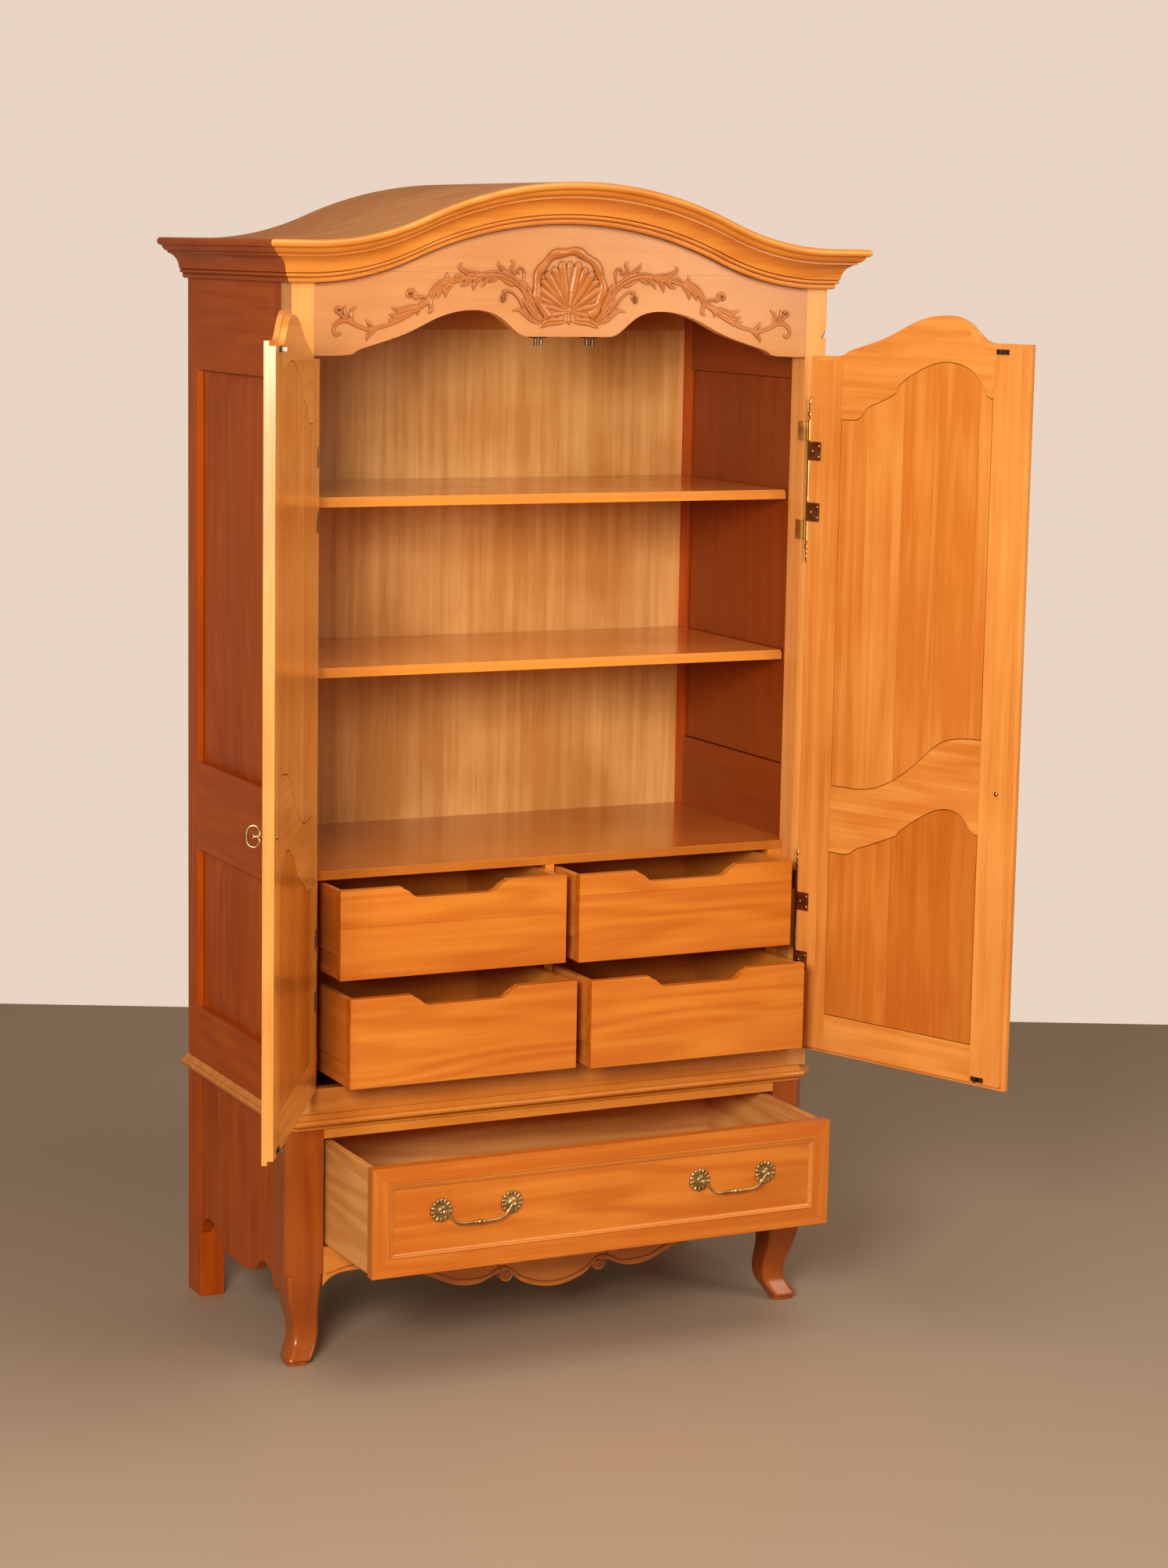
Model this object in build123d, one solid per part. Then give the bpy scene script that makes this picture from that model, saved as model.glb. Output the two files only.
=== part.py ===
from build123d import *
import os

# A two-door armoire with an arched crown, cabriole front legs, two shelves,
# four small drawers inside and one wide drawer in the base.
# Millimetres. +Z is up, -Y is the front, the origin is on the floor under the
# centre of the case.

# ---------------------------------------------------------------- case sizes
WIDTH = 1080.0
DEPTH = 540.0
HALF = WIDTH / 2
FRONT = -DEPTH / 2
BACK = DEPTH / 2
FLOOR_OF_CASE = 447.0   # top of the base, under the waist moulding
WAIST_TOP = 476.0       # underside of the upper case
EAVE_Z = 1976.5         # underside of the crown at the corners
CROWN_RISE = 111.0      # how far the crown arches up at the middle
CROWN_FLAT = 518.0      # half the width where the arch meets its flat ends
CROWN_TOP_RADIUS = 750.0
CROWN_HEIGHT = 75.0
CROWN_REACH = 61.5      # how far the crown stands out from the case
ROOF_THICK = 8.0

# ------------------------------------------------------------ upper case sizes
POST_W = 43.0
POST_D = 50.0
POST_CHAMFER = 11.0
CHAMFER_TOP = 1885.0
OPENING = HALF - POST_W  # half the door opening's width
FRIEZE_THICK = 22.0
SILL_TOP = 523.0
SIDE_THICK = 28.0
SIDE_IN = HALF - SIDE_THICK
SIDE_PANEL_IN = 517.0
REAR_STILE = 54.0
FRONT_STILE_END = 82.0
PANEL_TONGUE = 6.0
PANEL_GAP = 1.4          # the shadow line left round the back of a panel
BACK_PANEL_Y = BACK - 20.0
BACK_PANEL_THICK = 6.0
BACK_PANEL_TOP = 1884.0

# ------------------------------------------------------------------ base sizes
LEG_W = 70.0
BASE_CHAMFER = 17.0
LEG_TOP = 172.0
FOOT_PAD = 8.0
BAY_HALF = HALF - LEG_W  # half the base drawer opening's width
BAY_BOTTOM = 222.0
BAY_TOP = 428.0
BACK_LEG_W = 49.0
BACK_LEG_D = 70.0

# ----------------------------------------------------------------- door sizes
HINGE_X = 507.0
HINGE_Y = FRONT - 8.0
LIP = 8.0                # rebate all round the back of a door
LIP_THICK = 9.0
DOOR_GAP = 0.5
DOOR_INNER_THICK = 11.0
DOOR_BOTTOM = 520.0
DOOR_OUT_Y = FRONT - DOOR_GAP - LIP_THICK
DOOR_MID_Y = FRONT - DOOR_GAP
DOOR_IN_Y = DOOR_MID_Y + DOOR_INNER_THICK
DOOR_SIDE = 500.0
LEFT_DOOR_FREE = 5.5
RIGHT_DOOR_FREE = -3.5
LEFT_DOOR_OPEN = 120.0
RIGHT_DOOR_OPEN = 111.0
STILE_FREE_X = 71.0
STILE_HINGE_X = 418.0
BARREL_R = 4.5
PIN_R = 2.0
RUNNING_CLEARANCE = 0.05
HINGE_HEIGHTS = (753.0, 1617.0)
DOOR_KNUCKLE = 75.0      # half the length of the door's long knuckle
POST_KNUCKLE = 111.0     # half the length over the post's knuckles
KEY_PULL_Z = 1074.0
KEY_PULL_X = 32.0

# ----------------------------------------------------- shelves, small drawers
SHELF_TOPS = {"upper_shelf": 1593.0, "lower_shelf": 1283.0}
SHELF_THICK = 18.0
SHELF_FRONT = FRONT + 84.0
DECK_TOP = 917.0
DECK_THICK = 17.0
DRAWER_ROW_Y = FRONT + 43.0
DIVIDER_HALF = 9.0
PARTITION_IN = 468.0
DRAWER_IN_X = 11.0
DRAWER_OUT_X = 462.0
DRAWER_LENGTH = 430.0
DRAWER_H = 165.0
DRAWER_SIDE = 12.0
DRAWER_FRONT_THICK = 18.0
ROW_BOTTOM = {"upper": 732.0, "lower": 543.0}
# how far each small drawer is pulled out
PULLED_OUT = {
    "upper_left": 97.0,
    "upper_right": 107.0,
    "lower_left": 148.0,
    "lower_right": 165.0,
}

# ----------------------------------------------------------- base drawer sizes
BASE_DRAWER_OUT = 226.0
BASE_DRAWER_HALF = 467.0
BASE_DRAWER_BOTTOM = 224.0
BASE_DRAWER_TOP = 426.0
BASE_FRONT_THICK = 22.0
BASE_FRAME_W = 34.0
BASE_DRAWER_LENGTH = 470.0
PULL_CENTRE_X = 262.0
PULL_HALF_SPAN = 69.5
PULL_Z = 337.0
ROSETTE_R = 18.0
BAIL_R = 2.5
BAIL_OUT = 14.0
BAIL_DROP = 25.0


# ------------------------------------------------------------------- helpers
def block(x, y, z):
    """A box between two values along each axis."""
    size = [b - a for a, b in (x, y, z)]
    centre = [(a + b) / 2 for a, b in (x, y, z)]
    return Pos(*centre) * Box(*size)


def on_right_and_left(shape):
    """A shape on the right-hand side and its mirror image on the left."""
    return [shape, shape.mirror(Plane.YZ)]


def solids_of(shapes):
    """Every solid in a nested list of shapes."""
    found = []
    for shape in shapes if isinstance(shapes, (list, tuple)) else [shapes]:
        if isinstance(shape, (list, tuple)):
            found += solids_of(shape)
        else:
            found += list(shape.solids())
    return found


def save(node, *shapes):
    """Write one sub-part as parts/NODE.step."""
    solids = solids_of(list(shapes))
    whole = solids[0] if len(solids) == 1 else Compound(children=solids)
    export_step(whole, f"parts/{node}.step")


def at(x, z):
    """A point of an outline drawn in the XZ plane."""
    return Vector(x, 0, z)


def polyline(*points):
    """Straight edges through XZ points."""
    return [Line(at(*a), at(*b)) for a, b in zip(points, points[1:])]


def curve(*points, tangents=None):
    """A smooth edge through XZ points, level at both ends unless told otherwise."""
    ends = tangents or [(1, 0), (1, 0)]
    return Spline([at(*p) for p in points], tangents=[at(*t) for t in ends])


def slab(edges, y):
    """A board cut to an outline in the XZ plane, between two depths."""
    face = Face(Wire(edges))
    return Pos(0, y[0], 0) * extrude(face, amount=y[1] - y[0], dir=(0, 1, 0))


def arc_about(centre, start, end):
    """The short arc about a centre between two points."""
    middle = (start + end) * 0.5 - centre
    radius = (start - centre).length
    return ThreePointArc(start, centre + middle.normalized() * radius, end)


def cylinder_z(x, y, z, radius):
    """An upright rod between two heights."""
    return Pos(x, y, (z[0] + z[1]) / 2) * Cylinder(radius, z[1] - z[0])


# -------------------------------------------------------------- shared curves
def crown_line(lift, reach):
    """The crown's arch from left to right: flat ends, two hollow arcs and one round one."""
    base = EAVE_Z + lift
    end_radius = (CROWN_FLAT**2 + CROWN_RISE**2) / (2 * CROWN_RISE) - CROWN_TOP_RADIUS
    share = CROWN_TOP_RADIUS / (CROWN_TOP_RADIUS + end_radius)
    low_centre = at(0, base + CROWN_RISE - CROWN_TOP_RADIUS)
    edges = []
    for side in (-1, 1):
        high_centre = at(side * CROWN_FLAT, base + end_radius)
        meet = low_centre + (high_centre - low_centre) * share
        foot = at(side * CROWN_FLAT, base)
        hollow = arc_about(high_centre, foot, meet) if side < 0 else arc_about(high_centre, meet, foot)
        flat = Line(at(-reach, base), foot) if side < 0 else Line(foot, at(reach, base))
        edges.append((flat, hollow, meet))
    (flat_l, hollow_l, meet_l), (flat_r, hollow_r, meet_r) = edges
    top = arc_about(low_centre, meet_l, meet_r)
    return [flat_l, hollow_l, top, hollow_r, flat_r]


# the scrolled line between the frieze and the doors, on the right-hand side
EAVE_POINTS = ((80, 1884.5), (111, 1898), (143, 1922), (192, 1931.5), (259, 1918), (324, 1888), (416, 1858))
EAVE_END_Z = 1849.0


def eave_half(shift, end):
    """The scrolled edge between frieze and door, from near the middle to one side."""
    points = [(x, z + shift) for x, z in EAVE_POINTS] + [(end, EAVE_END_Z + shift)]
    return curve(*points)


def door_blank(free, side, bottom, shift, y):
    """A right-hand door's whole board: square below, scrolled above."""
    low = EAVE_POINTS[0][1] + shift
    end = EAVE_END_Z + shift
    edges = [eave_half(shift, OPENING)]
    edges += polyline((OPENING, end), (DOOR_SIDE + 1, end), (DOOR_SIDE + 1, bottom))
    edges += polyline((DOOR_SIDE + 1, bottom), (free, bottom), (free, low), (EAVE_POINTS[0][0], low))
    return slab(edges, y) & block((free - 1, side), (y[0] - 1, y[1] + 1), (bottom - 1, 2000))


def upper_panel_edges():
    """The top and bottom of a right-hand door's tall panel, as seen when it is closed."""
    free, hinge = STILE_FREE_X, STILE_HINGE_X
    top = [
        Line(at(free - 20, 1790), at(free, 1790)),
        curve((free, 1790), (83, 1794), (93, 1809), tangents=[(1, 0), (0.6, 1)]),
        curve((93, 1809), (120, 1838), (176, 1852), (236, 1836), (286, 1803), (334, 1771),
              tangents=[(0.6, 1), (1, -0.4)]),
        curve((334, 1771), (356, 1761), (390, 1737), tangents=[(1, -0.4), (1, 0)]),
        Line(at(390, 1737), at(hinge + 20, 1737)),
    ]
    bottom = [
        Line(at(hinge + 20, 1043), at(370, 1043)),
        curve((370, 1043), (306, 1053), (199, 1124), (free, 1168), tangents=[(-1, 0), (-1, 0)]),
        Line(at(free, 1168), at(free - 20, 1168)),
    ]
    return top, bottom


def lower_panel_edges():
    """The top and bottom of a right-hand door's short panel."""
    free, hinge = STILE_FREE_X, STILE_HINGE_X
    top = [
        Line(at(free - 20, 992), at(free, 992)),
        curve((free, 992), (83, 995), (95, 1008), tangents=[(1, 0), (0.6, 1)]),
        curve((95, 1008), (140, 1032), (192, 1016), (254, 974), (322, 941),
              tangents=[(0.6, 1), (1, -0.4)]),
        curve((322, 941), (350, 931), (384, 916), tangents=[(1, -0.4), (1, 0)]),
        Line(at(384, 916), at(hinge + 20, 916)),
    ]
    return top, [Line(at(hinge + 20, 598), at(free - 20, 598))]


def panel_board(top_and_bottom, grow, y):
    """A door panel's shape between two depths, grown by a margin all round."""
    top, bottom = top_and_bottom
    edges = [Pos(0, 0, grow) * edge for edge in top] + [Pos(0, 0, -grow) * edge for edge in bottom]
    for x in (STILE_FREE_X - 20, STILE_HINGE_X + 20):
        ends = sorted((edge @ t).Z for edge in edges for t in (0, 1) if abs((edge @ t).X - x) < 0.01)
        edges.append(Line(at(x, ends[0]), at(x, ends[-1])))
    wide = slab(edges, y)
    return wide & block((STILE_FREE_X - grow, STILE_HINGE_X + grow), (y[0] - 1, y[1] + 1), (0, 2000))


# -------------------------------------------------------------------- the crown
def crown_profile():
    """The crown's section: distance out from the case and height above its underside."""
    out = CROWN_REACH
    top = CROWN_HEIGHT

    def p(o, h):
        return Vector(o, h, 0)

    return [
        Line(p(0, 0), p(7, 0)),
        ThreePointArc(p(7, 0), p(11, 4), p(10, 9)),
        Line(p(10, 9), p(13, 10)),
        ThreePointArc(p(13, 10), p(16.5, 13), p(14.5, 17)),
        Line(p(14.5, 17), p(18, 18)),
        ThreePointArc(p(18, 18), p(24, 36), p(37, 46)),
        Line(p(37, 46), p(41, 46)),
        Line(p(41, 46), p(41, 50)),
        ThreePointArc(p(41, 50), p(48, 53), p(52, 60)),
        Line(p(52, 60), p(55, 61)),
        ThreePointArc(p(55, 61), p(out, 68.5), p(56, top)),
        Line(p(56, top), p(0, top)),
        Line(p(0, top), p(0, 0)),
    ]


def crown_front():
    """The arched moulding, which keeps its section upright along the arch, mitred at both ends."""
    reach = HALF + CROWN_REACH + 1
    start = at(-reach, EAVE_Z)
    plane = Plane(origin=(start.X, FRONT, start.Z), x_dir=(0, -1, 0), z_dir=(-1, 0, 0))
    section = Face(Wire([plane.from_local_coords(edge) for edge in crown_profile()]))
    path = Wire([Pos(0, FRONT, 0) * edge for edge in crown_line(0, reach)])
    moulding = Solid.sweep(section, path, mode=Vector(1, 0, 0))
    for side in (-1, 1):
        corner = [(side * HALF, FRONT), (side * (HALF + 200), FRONT), (side * (HALF + 200), FRONT - 200)]
        cutter = extrude(Face(Wire(Polyline(*corner, close=True).edges())), amount=400, dir=(0, 0, 1))
        moulding = moulding - Pos(0, 0, EAVE_Z - 100) * cutter
    return moulding


def crown_side():
    """The straight moulding on the right-hand side, mitred at the front."""
    plane = Plane(origin=(HALF, BACK, EAVE_Z), x_dir=(1, 0, 0), z_dir=(0, -1, 0))
    section = Face(Wire([plane.from_local_coords(edge) for edge in crown_profile()]))
    moulding = extrude(section, amount=DEPTH + CROWN_REACH + 1, dir=(0, -1, 0))
    corner = [(HALF, FRONT), (HALF, FRONT - 200), (HALF + 200, FRONT - 200)]
    cutter = extrude(Face(Wire(Polyline(*corner, close=True).edges())), amount=400, dir=(0, 0, 1))
    return moulding - Pos(0, 0, EAVE_Z - 100) * cutter


def build_crown():
    save("crown_front", crown_front())
    save("crown_sides", on_right_and_left(crown_side()))
    under = CROWN_HEIGHT - ROOF_THICK
    roof = crown_line(CROWN_HEIGHT, HALF) + crown_line(under, HALF)
    roof += polyline((-HALF, EAVE_Z + under), (-HALF, EAVE_Z + CROWN_HEIGHT))
    roof += polyline((HALF, EAVE_Z + under), (HALF, EAVE_Z + CROWN_HEIGHT))
    save("roof_panel", slab(roof, (FRONT, BACK)))

    low = EAVE_POINTS[0][1]
    eave = eave_half(0, OPENING)
    frieze = crown_line(under, HALF) + [eave, eave.mirror(Plane.YZ)]
    frieze += polyline((-EAVE_POINTS[0][0], low), (EAVE_POINTS[0][0], low))
    for side in (-1, 1):
        corner = (side * HALF, EAVE_END_Z)
        frieze += polyline((side * OPENING, EAVE_END_Z), corner, (side * HALF, EAVE_Z + under))
    y = (FRONT, FRONT + FRIEZE_THICK)
    save("frieze", slab(frieze, y) & block((-OPENING, OPENING), y, (0, 2200)))
    save("frieze_carving", frieze_carving())

    rail = crown_line(under, HALF)
    low = BACK_PANEL_TOP
    rail += polyline((HALF, EAVE_Z + under), (HALF, low), (-HALF, low), (-HALF, EAVE_Z + under))
    y = (BACK_PANEL_Y, BACK - 4)
    save("back_top_rail", slab(rail, y) & block((-SIDE_IN, SIDE_IN), y, (0, 2200)))


def frieze_carving():
    """The applied shell with a garland on each side, as plain raised shapes."""
    shell = Pos(0, FRONT - 3, 1966) * Rot(90, 0, 0) * Cylinder(60, 6)
    foot = block((-40, 40), (FRONT - 5, FRONT), (1906, 1926))
    parts = [shell + foot]
    spine = curve((78, 1974), (120, 1984), (180, 1982), (262, 1944), (330, 1915), (420, 1903),
                  tangents=[(1, 0.3), (1, 0)])
    band = [spine, Pos(0, 0, -14) * spine]
    band += polyline((78, 1974), (78, 1960)) + polyline((420, 1903), (420, 1889))
    parts += on_right_and_left(slab(band, (FRONT - 5, FRONT)))
    return parts


# --------------------------------------------------------------- the upper case
def upper_post():
    """A front post: square at the head, with a stopped chamfer down its outer corner."""
    post = block((OPENING, HALF), (FRONT, FRONT + POST_D), (WAIST_TOP, EAVE_Z + CROWN_HEIGHT - ROOF_THICK))

    def corner(size, z):
        points = [(HALF + 1, FRONT - 1), (HALF - size, FRONT - 1), (HALF + 1, FRONT + size)]
        return Pos(0, 0, z) * Face(Wire(Polyline(*points, close=True).edges()))

    chamfer = extrude(corner(POST_CHAMFER, WAIST_TOP), amount=CHAMFER_TOP - WAIST_TOP)
    stop = loft([corner(POST_CHAMFER, CHAMFER_TOP), corner(0.2, CHAMFER_TOP + 18)], ruled=True)
    post = post - chamfer - stop
    for z in HINGE_HEIGHTS:
        post = post - post_leaf(z)
    return post


def back_post():
    """A rear post that runs down to become the back leg."""
    top = EAVE_Z + CROWN_HEIGHT - ROOF_THICK
    upper = block((SIDE_IN, HALF), (BACK - REAR_STILE, BACK), (FLOOR_OF_CASE, top))
    leg = block((HALF - BACK_LEG_W, HALF), (BACK - BACK_LEG_D, BACK), (0, FLOOR_OF_CASE))
    return upper + leg


SIDE_RAILS = ((WAIST_TOP, 580.0), (890.0, 1060.0), (1807.0, EAVE_Z + CROWN_HEIGHT - ROOF_THICK))


def side_panel(z):
    """A raised side panel: a bevelled field, a flat back and a tongue all round."""
    y = (FRONT + FRONT_STILE_END, BACK - REAR_STILE)
    reach = PANEL_TONGUE
    tongue = block((522, 528), (y[0] - reach, y[1] + reach), (z[0] - reach, z[1] + reach))
    bevel = 32.0
    base = Pos(528, (y[0] + y[1]) / 2, (z[0] + z[1]) / 2) * Rot(0, 90, 0)
    wide = Rectangle(z[1] - z[0] - 1, y[1] - y[0] - 1)
    narrow = Rectangle(z[1] - z[0] - 2 * bevel, y[1] - y[0] - 2 * bevel)
    field = loft([base * wide, base * Pos(0, 0, 6) * narrow], ruled=True)
    gap = PANEL_GAP
    back = block((SIDE_PANEL_IN, 522), (y[0] + gap, y[1] - gap), (z[0] + gap, z[1] - gap))
    return tongue + field + back


def build_sides():
    y = (FRONT + FRONT_STILE_END, BACK - REAR_STILE)
    x = (SIDE_IN, HALF)
    openings = [(low[1], high[0]) for low, high in zip(SIDE_RAILS, SIDE_RAILS[1:])]
    reach = PANEL_TONGUE + 0.5
    grooves = [
        block((521.7, 528.3), (y[0] - reach, y[1] + reach), (z[0] - reach, z[1] + reach)) for z in openings
    ]
    frame = [block(x, (FRONT + POST_D, y[0]), (WAIST_TOP, SIDE_RAILS[-1][1]))]
    frame += [block(x, y, z) for z in SIDE_RAILS]
    rear = back_post()
    for groove in grooves:
        frame = [piece - groove for piece in frame]
        rear = rear - groove
    for name, post in zip(("right", "left"), on_right_and_left(rear)):
        save(f"back_post_{name}", post)
    for name, post in zip(("right", "left"), on_right_and_left(upper_post())):
        save(f"upper_post_{name}", post)
    save("side_frames", [on_right_and_left(piece) for piece in frame])
    save("side_panels", [on_right_and_left(side_panel(z)) for z in openings])


def build_inside():
    save("door_sill_rail", block((-OPENING, OPENING), (FRONT, FRONT + FRIEZE_THICK), (WAIST_TOP, SILL_TOP)))
    back_y = (BACK_PANEL_Y, BACK_PANEL_Y + BACK_PANEL_THICK)
    save("back_panel", block((-SIDE_IN, SIDE_IN), back_y, (WAIST_TOP, BACK_PANEL_TOP)))
    for node, top in SHELF_TOPS.items():
        board = block((-SIDE_IN + 1, SIDE_IN - 1), (SHELF_FRONT, BACK_PANEL_Y - 3), (top - SHELF_THICK, top))
        edge = block((-SIDE_IN, SIDE_IN), (SHELF_FRONT - 1, SHELF_FRONT + 4), (top - 4, top + 1))
        save(node, board - edge)
    pins = []
    for top in SHELF_TOPS.values():
        for y, reach in ((SHELF_FRONT + 40, SIDE_PANEL_IN), (BACK - 38, SIDE_IN)):
            length = reach - SIDE_IN + 10
            pin = Pos(reach - length / 2, y, top - SHELF_THICK - 3.2) * Rot(0, 90, 0) * Cylinder(3, length)
            pins.append(on_right_and_left(pin))
    save("shelf_pins", pins)

    deck = block((-OPENING, OPENING), (DRAWER_ROW_Y, BACK_PANEL_Y), (DECK_TOP - DECK_THICK, DECK_TOP))
    wing = block((OPENING, SIDE_IN), (FRONT + POST_D, BACK_PANEL_Y), (DECK_TOP - DECK_THICK, DECK_TOP))
    for end in on_right_and_left(wing):
        deck = deck + end
    save("drawer_deck", deck)
    bay_z = (WAIST_TOP, DECK_TOP - DECK_THICK)
    bay_y = (DRAWER_ROW_Y, BACK_PANEL_Y)
    middle = block((-DIVIDER_HALF, DIVIDER_HALF), bay_y, bay_z)
    save("drawer_partitions", middle, on_right_and_left(block((PARTITION_IN, OPENING), bay_y, bay_z)))
    floor_z = (FLOOR_OF_CASE, WAIST_TOP)
    save("case_bottom", block((-HALF + 24, HALF - 24), (FRONT + 24, BACK - REAR_STILE), floor_z),
         block((-SIDE_IN + 3, SIDE_IN - 3), (BACK - REAR_STILE, BACK_PANEL_Y + 6), floor_z))
    save("drawer_runners", runners())
    save("door_catches", catches())


RUNNER_LOW = 14.0
RUNNER_HIGH = 42.0


def runners():
    """Cleats that the small drawers' grooved sides slide on, and the base drawer's bearers."""
    cleats = []
    y = (DRAWER_ROW_Y + DRAWER_FRONT_THICK + 2, BACK_PANEL_Y - 10)
    for bottom in ROW_BOTTOM.values():
        z = (bottom + RUNNER_LOW, bottom + RUNNER_HIGH)
        cleats.append(on_right_and_left(block((PARTITION_IN - 10, PARTITION_IN), y, z)))
        cleats.append(on_right_and_left(block((DIVIDER_HALF, DIVIDER_HALF + 8.5), y, z)))
    z = (BAY_BOTTOM - 18, BAY_BOTTOM + 4.5)
    bearer = block((BAY_HALF - 32, BAY_HALF), (FRONT + 30, BACK - BACK_LEG_D - 4), z)
    ledge = block((BAY_HALF, BAY_HALF + 24), (FRONT + LEG_W, BACK - BACK_LEG_D), z)
    cleats.append(on_right_and_left(bearer + ledge))
    return cleats


CATCH_X = 52.0
CATCH_Y = FRONT + 20.0
ROLLER_R = 3.2
ROLLER_GAP = 5.0


def catches():
    """A pair of rollers on a bracket over and under each door's meeting stile."""
    pieces = []
    for plate_z, roller_z in (
        ((EAVE_POINTS[0][1] - 2.5, EAVE_POINTS[0][1]), (1868.0, 1881.5)),
        ((SILL_TOP, SILL_TOP + 2.5), (526.0, 540.0)),
    ):
        plate = block((CATCH_X - 13, CATCH_X + 13), (DOOR_IN_Y + 1.5, FRONT + 34), plate_z)
        pieces.append(on_right_and_left(plate))
        for side in (-1, 1):
            x = CATCH_X + side * (ROLLER_R + ROLLER_GAP / 2)
            pieces.append(on_right_and_left(cylinder_z(x, CATCH_Y, roller_z, ROLLER_R)))
    return pieces


# ------------------------------------------------------------------- the base
def front_leg():
    """A chamfered base post on a cabriole leg, which ends in a flared foot on a pad."""
    post = block((HALF - LEG_W, HALF), (FRONT, FRONT + LEG_W), (LEG_TOP, FLOOR_OF_CASE))
    edge = post.edges().filter_by(Axis.Z).sort_by(lambda e: e.center().Y - e.center().X)[0]
    post = chamfer(edge, BASE_CHAMFER)
    # height, inset from the outer corner, width of the square
    shape = ((FOOT_PAD, 3, 48), (26, 12, 50), (52, 21, 50), (80, 17, 53), (114, 7, 60), (150, 0.5, 68),
             (LEG_TOP, 0, LEG_W))
    sections = []
    for z, inset, size in shape:
        middle = inset + size / 2
        sections.append(Pos(HALF - middle, FRONT + middle, z) * RectangleRounded(size, size, 9))
    leg = loft(sections)
    pad = Pos(HALF - 27, FRONT + 27, 0) * extrude(RectangleRounded(42, 42, 12), amount=FOOT_PAD)
    return post + leg + pad


def waist_moulding():
    """A nosed moulding round the front and both sides, cut across the chamfered corners."""
    c = BASE_CHAMFER
    left = [(-HALF, BACK), (-HALF, FRONT + c), (-HALF + c, FRONT)]
    path = Polyline(*left, *[(-x, y) for x, y in reversed(left)])
    path = Pos(0, 0, FLOOR_OF_CASE) * path
    h = WAIST_TOP - FLOOR_OF_CASE

    def p(o, z):
        return Vector(o, z, 0)

    profile = [
        Line(p(-20, 0), p(3, 0)),
        Line(p(3, 0), p(3, 2.5)),
        ThreePointArc(p(3, 2.5), p(6, 7), p(11, 8.5)),
        ThreePointArc(p(11, 8.5), p(16, 14), p(12, 20)),
        Line(p(12, 20), p(10, 20)),
        ThreePointArc(p(10, 20), p(6, 24), p(2, h)),
        Line(p(2, h), p(-20, h)),
        Line(p(-20, h), p(-20, 0)),
    ]
    plane = Plane(origin=(-HALF, BACK, FLOOR_OF_CASE), x_dir=(-1, 0, 0), z_dir=(0, 1, 0))
    section = Face(Wire([plane.from_local_coords(edge) for edge in profile]))
    moulding = Solid.sweep(section, Wire(path.edges()), transition=Transition.RIGHT)
    notch = block((SIDE_IN - 30, HALF), (BACK - REAR_STILE, BACK + 1), (FLOOR_OF_CASE - 1, WAIST_TOP + 1))
    for post in on_right_and_left(notch):
        moulding = moulding - post
    return moulding


# the apron's lower edge, from the middle to the scroll and beyond it
APRON_HALF = ((0, 92), (45, 100), (84, 126))
APRON_OUTER = ((110, 130), (124, 127), (149, 117), (209, 120), (267, 145), (340, 163), (410, 172))


def front_apron():
    """The shaped rail under the base drawer: a centre drop, two scrolls and long waves."""
    right = [
        curve(*APRON_HALF, tangents=[(1, 0), (0.6, 1)]),
        ThreePointArc(at(84, 126), at(98, 112), at(110, 130)),
        curve(*APRON_OUTER, tangents=[(1, 0.2), (1, 0)]),
        curve((410, 172), (450, 166), (BAY_HALF, 148), tangents=[(1, 0), (0.5, -1)]),
    ]
    edges = right + [edge.mirror(Plane.YZ) for edge in right]
    edges += polyline((BAY_HALF, 148), (BAY_HALF, BAY_BOTTOM), (-BAY_HALF, BAY_BOTTOM), (-BAY_HALF, 148))
    return slab(edges, (FRONT + 1, FRONT + 23))


def base_side():
    """The right-hand board of the base, with its own shaped lower edge."""

    def p(y, z):
        return Vector(0, y, z)

    near, far = FRONT + LEG_W, BACK - BACK_LEG_D
    middle = (near + far) / 2
    half = [
        Spline([p(middle, 127), p(middle + 50, 129), p(middle + 95, 140), p(middle + 145, 168)],
               tangents=[(0, 1, 0), (0, 1, 0)]),
        Spline([p(middle + 145, 168), p(middle + 180, 160), p(far, 130)], tangents=[(0, 1, 0), (0, 0.4, -1)]),
    ]
    mirror = Plane(origin=(0, middle, 0), z_dir=(0, 1, 0))
    edges = half + [edge.mirror(mirror) for edge in half]
    corners = [p(far, 130), p(far, FLOOR_OF_CASE), p(near, FLOOR_OF_CASE), p(near, 130)]
    edges += [Line(a, b) for a, b in zip(corners, corners[1:])]
    board = extrude(Face(Wire(edges)), amount=20, dir=(1, 0, 0))
    return Pos(HALF - 22, 0, 0) * board


def build_base():
    for name, leg in zip(("right", "left"), on_right_and_left(front_leg())):
        save(f"front_leg_{name}", leg)
    save("waist_moulding", waist_moulding())
    save("front_apron", front_apron())
    save("base_top_rail", block((-BAY_HALF, BAY_HALF), (FRONT + 1, FRONT + 23), (BAY_TOP, FLOOR_OF_CASE)))
    save("base_sides", on_right_and_left(base_side()))
    inner = HALF - BACK_LEG_W
    save("base_back_board", block((-inner, inner), (BACK - 22, BACK - 6), (150, FLOOR_OF_CASE)))


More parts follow.
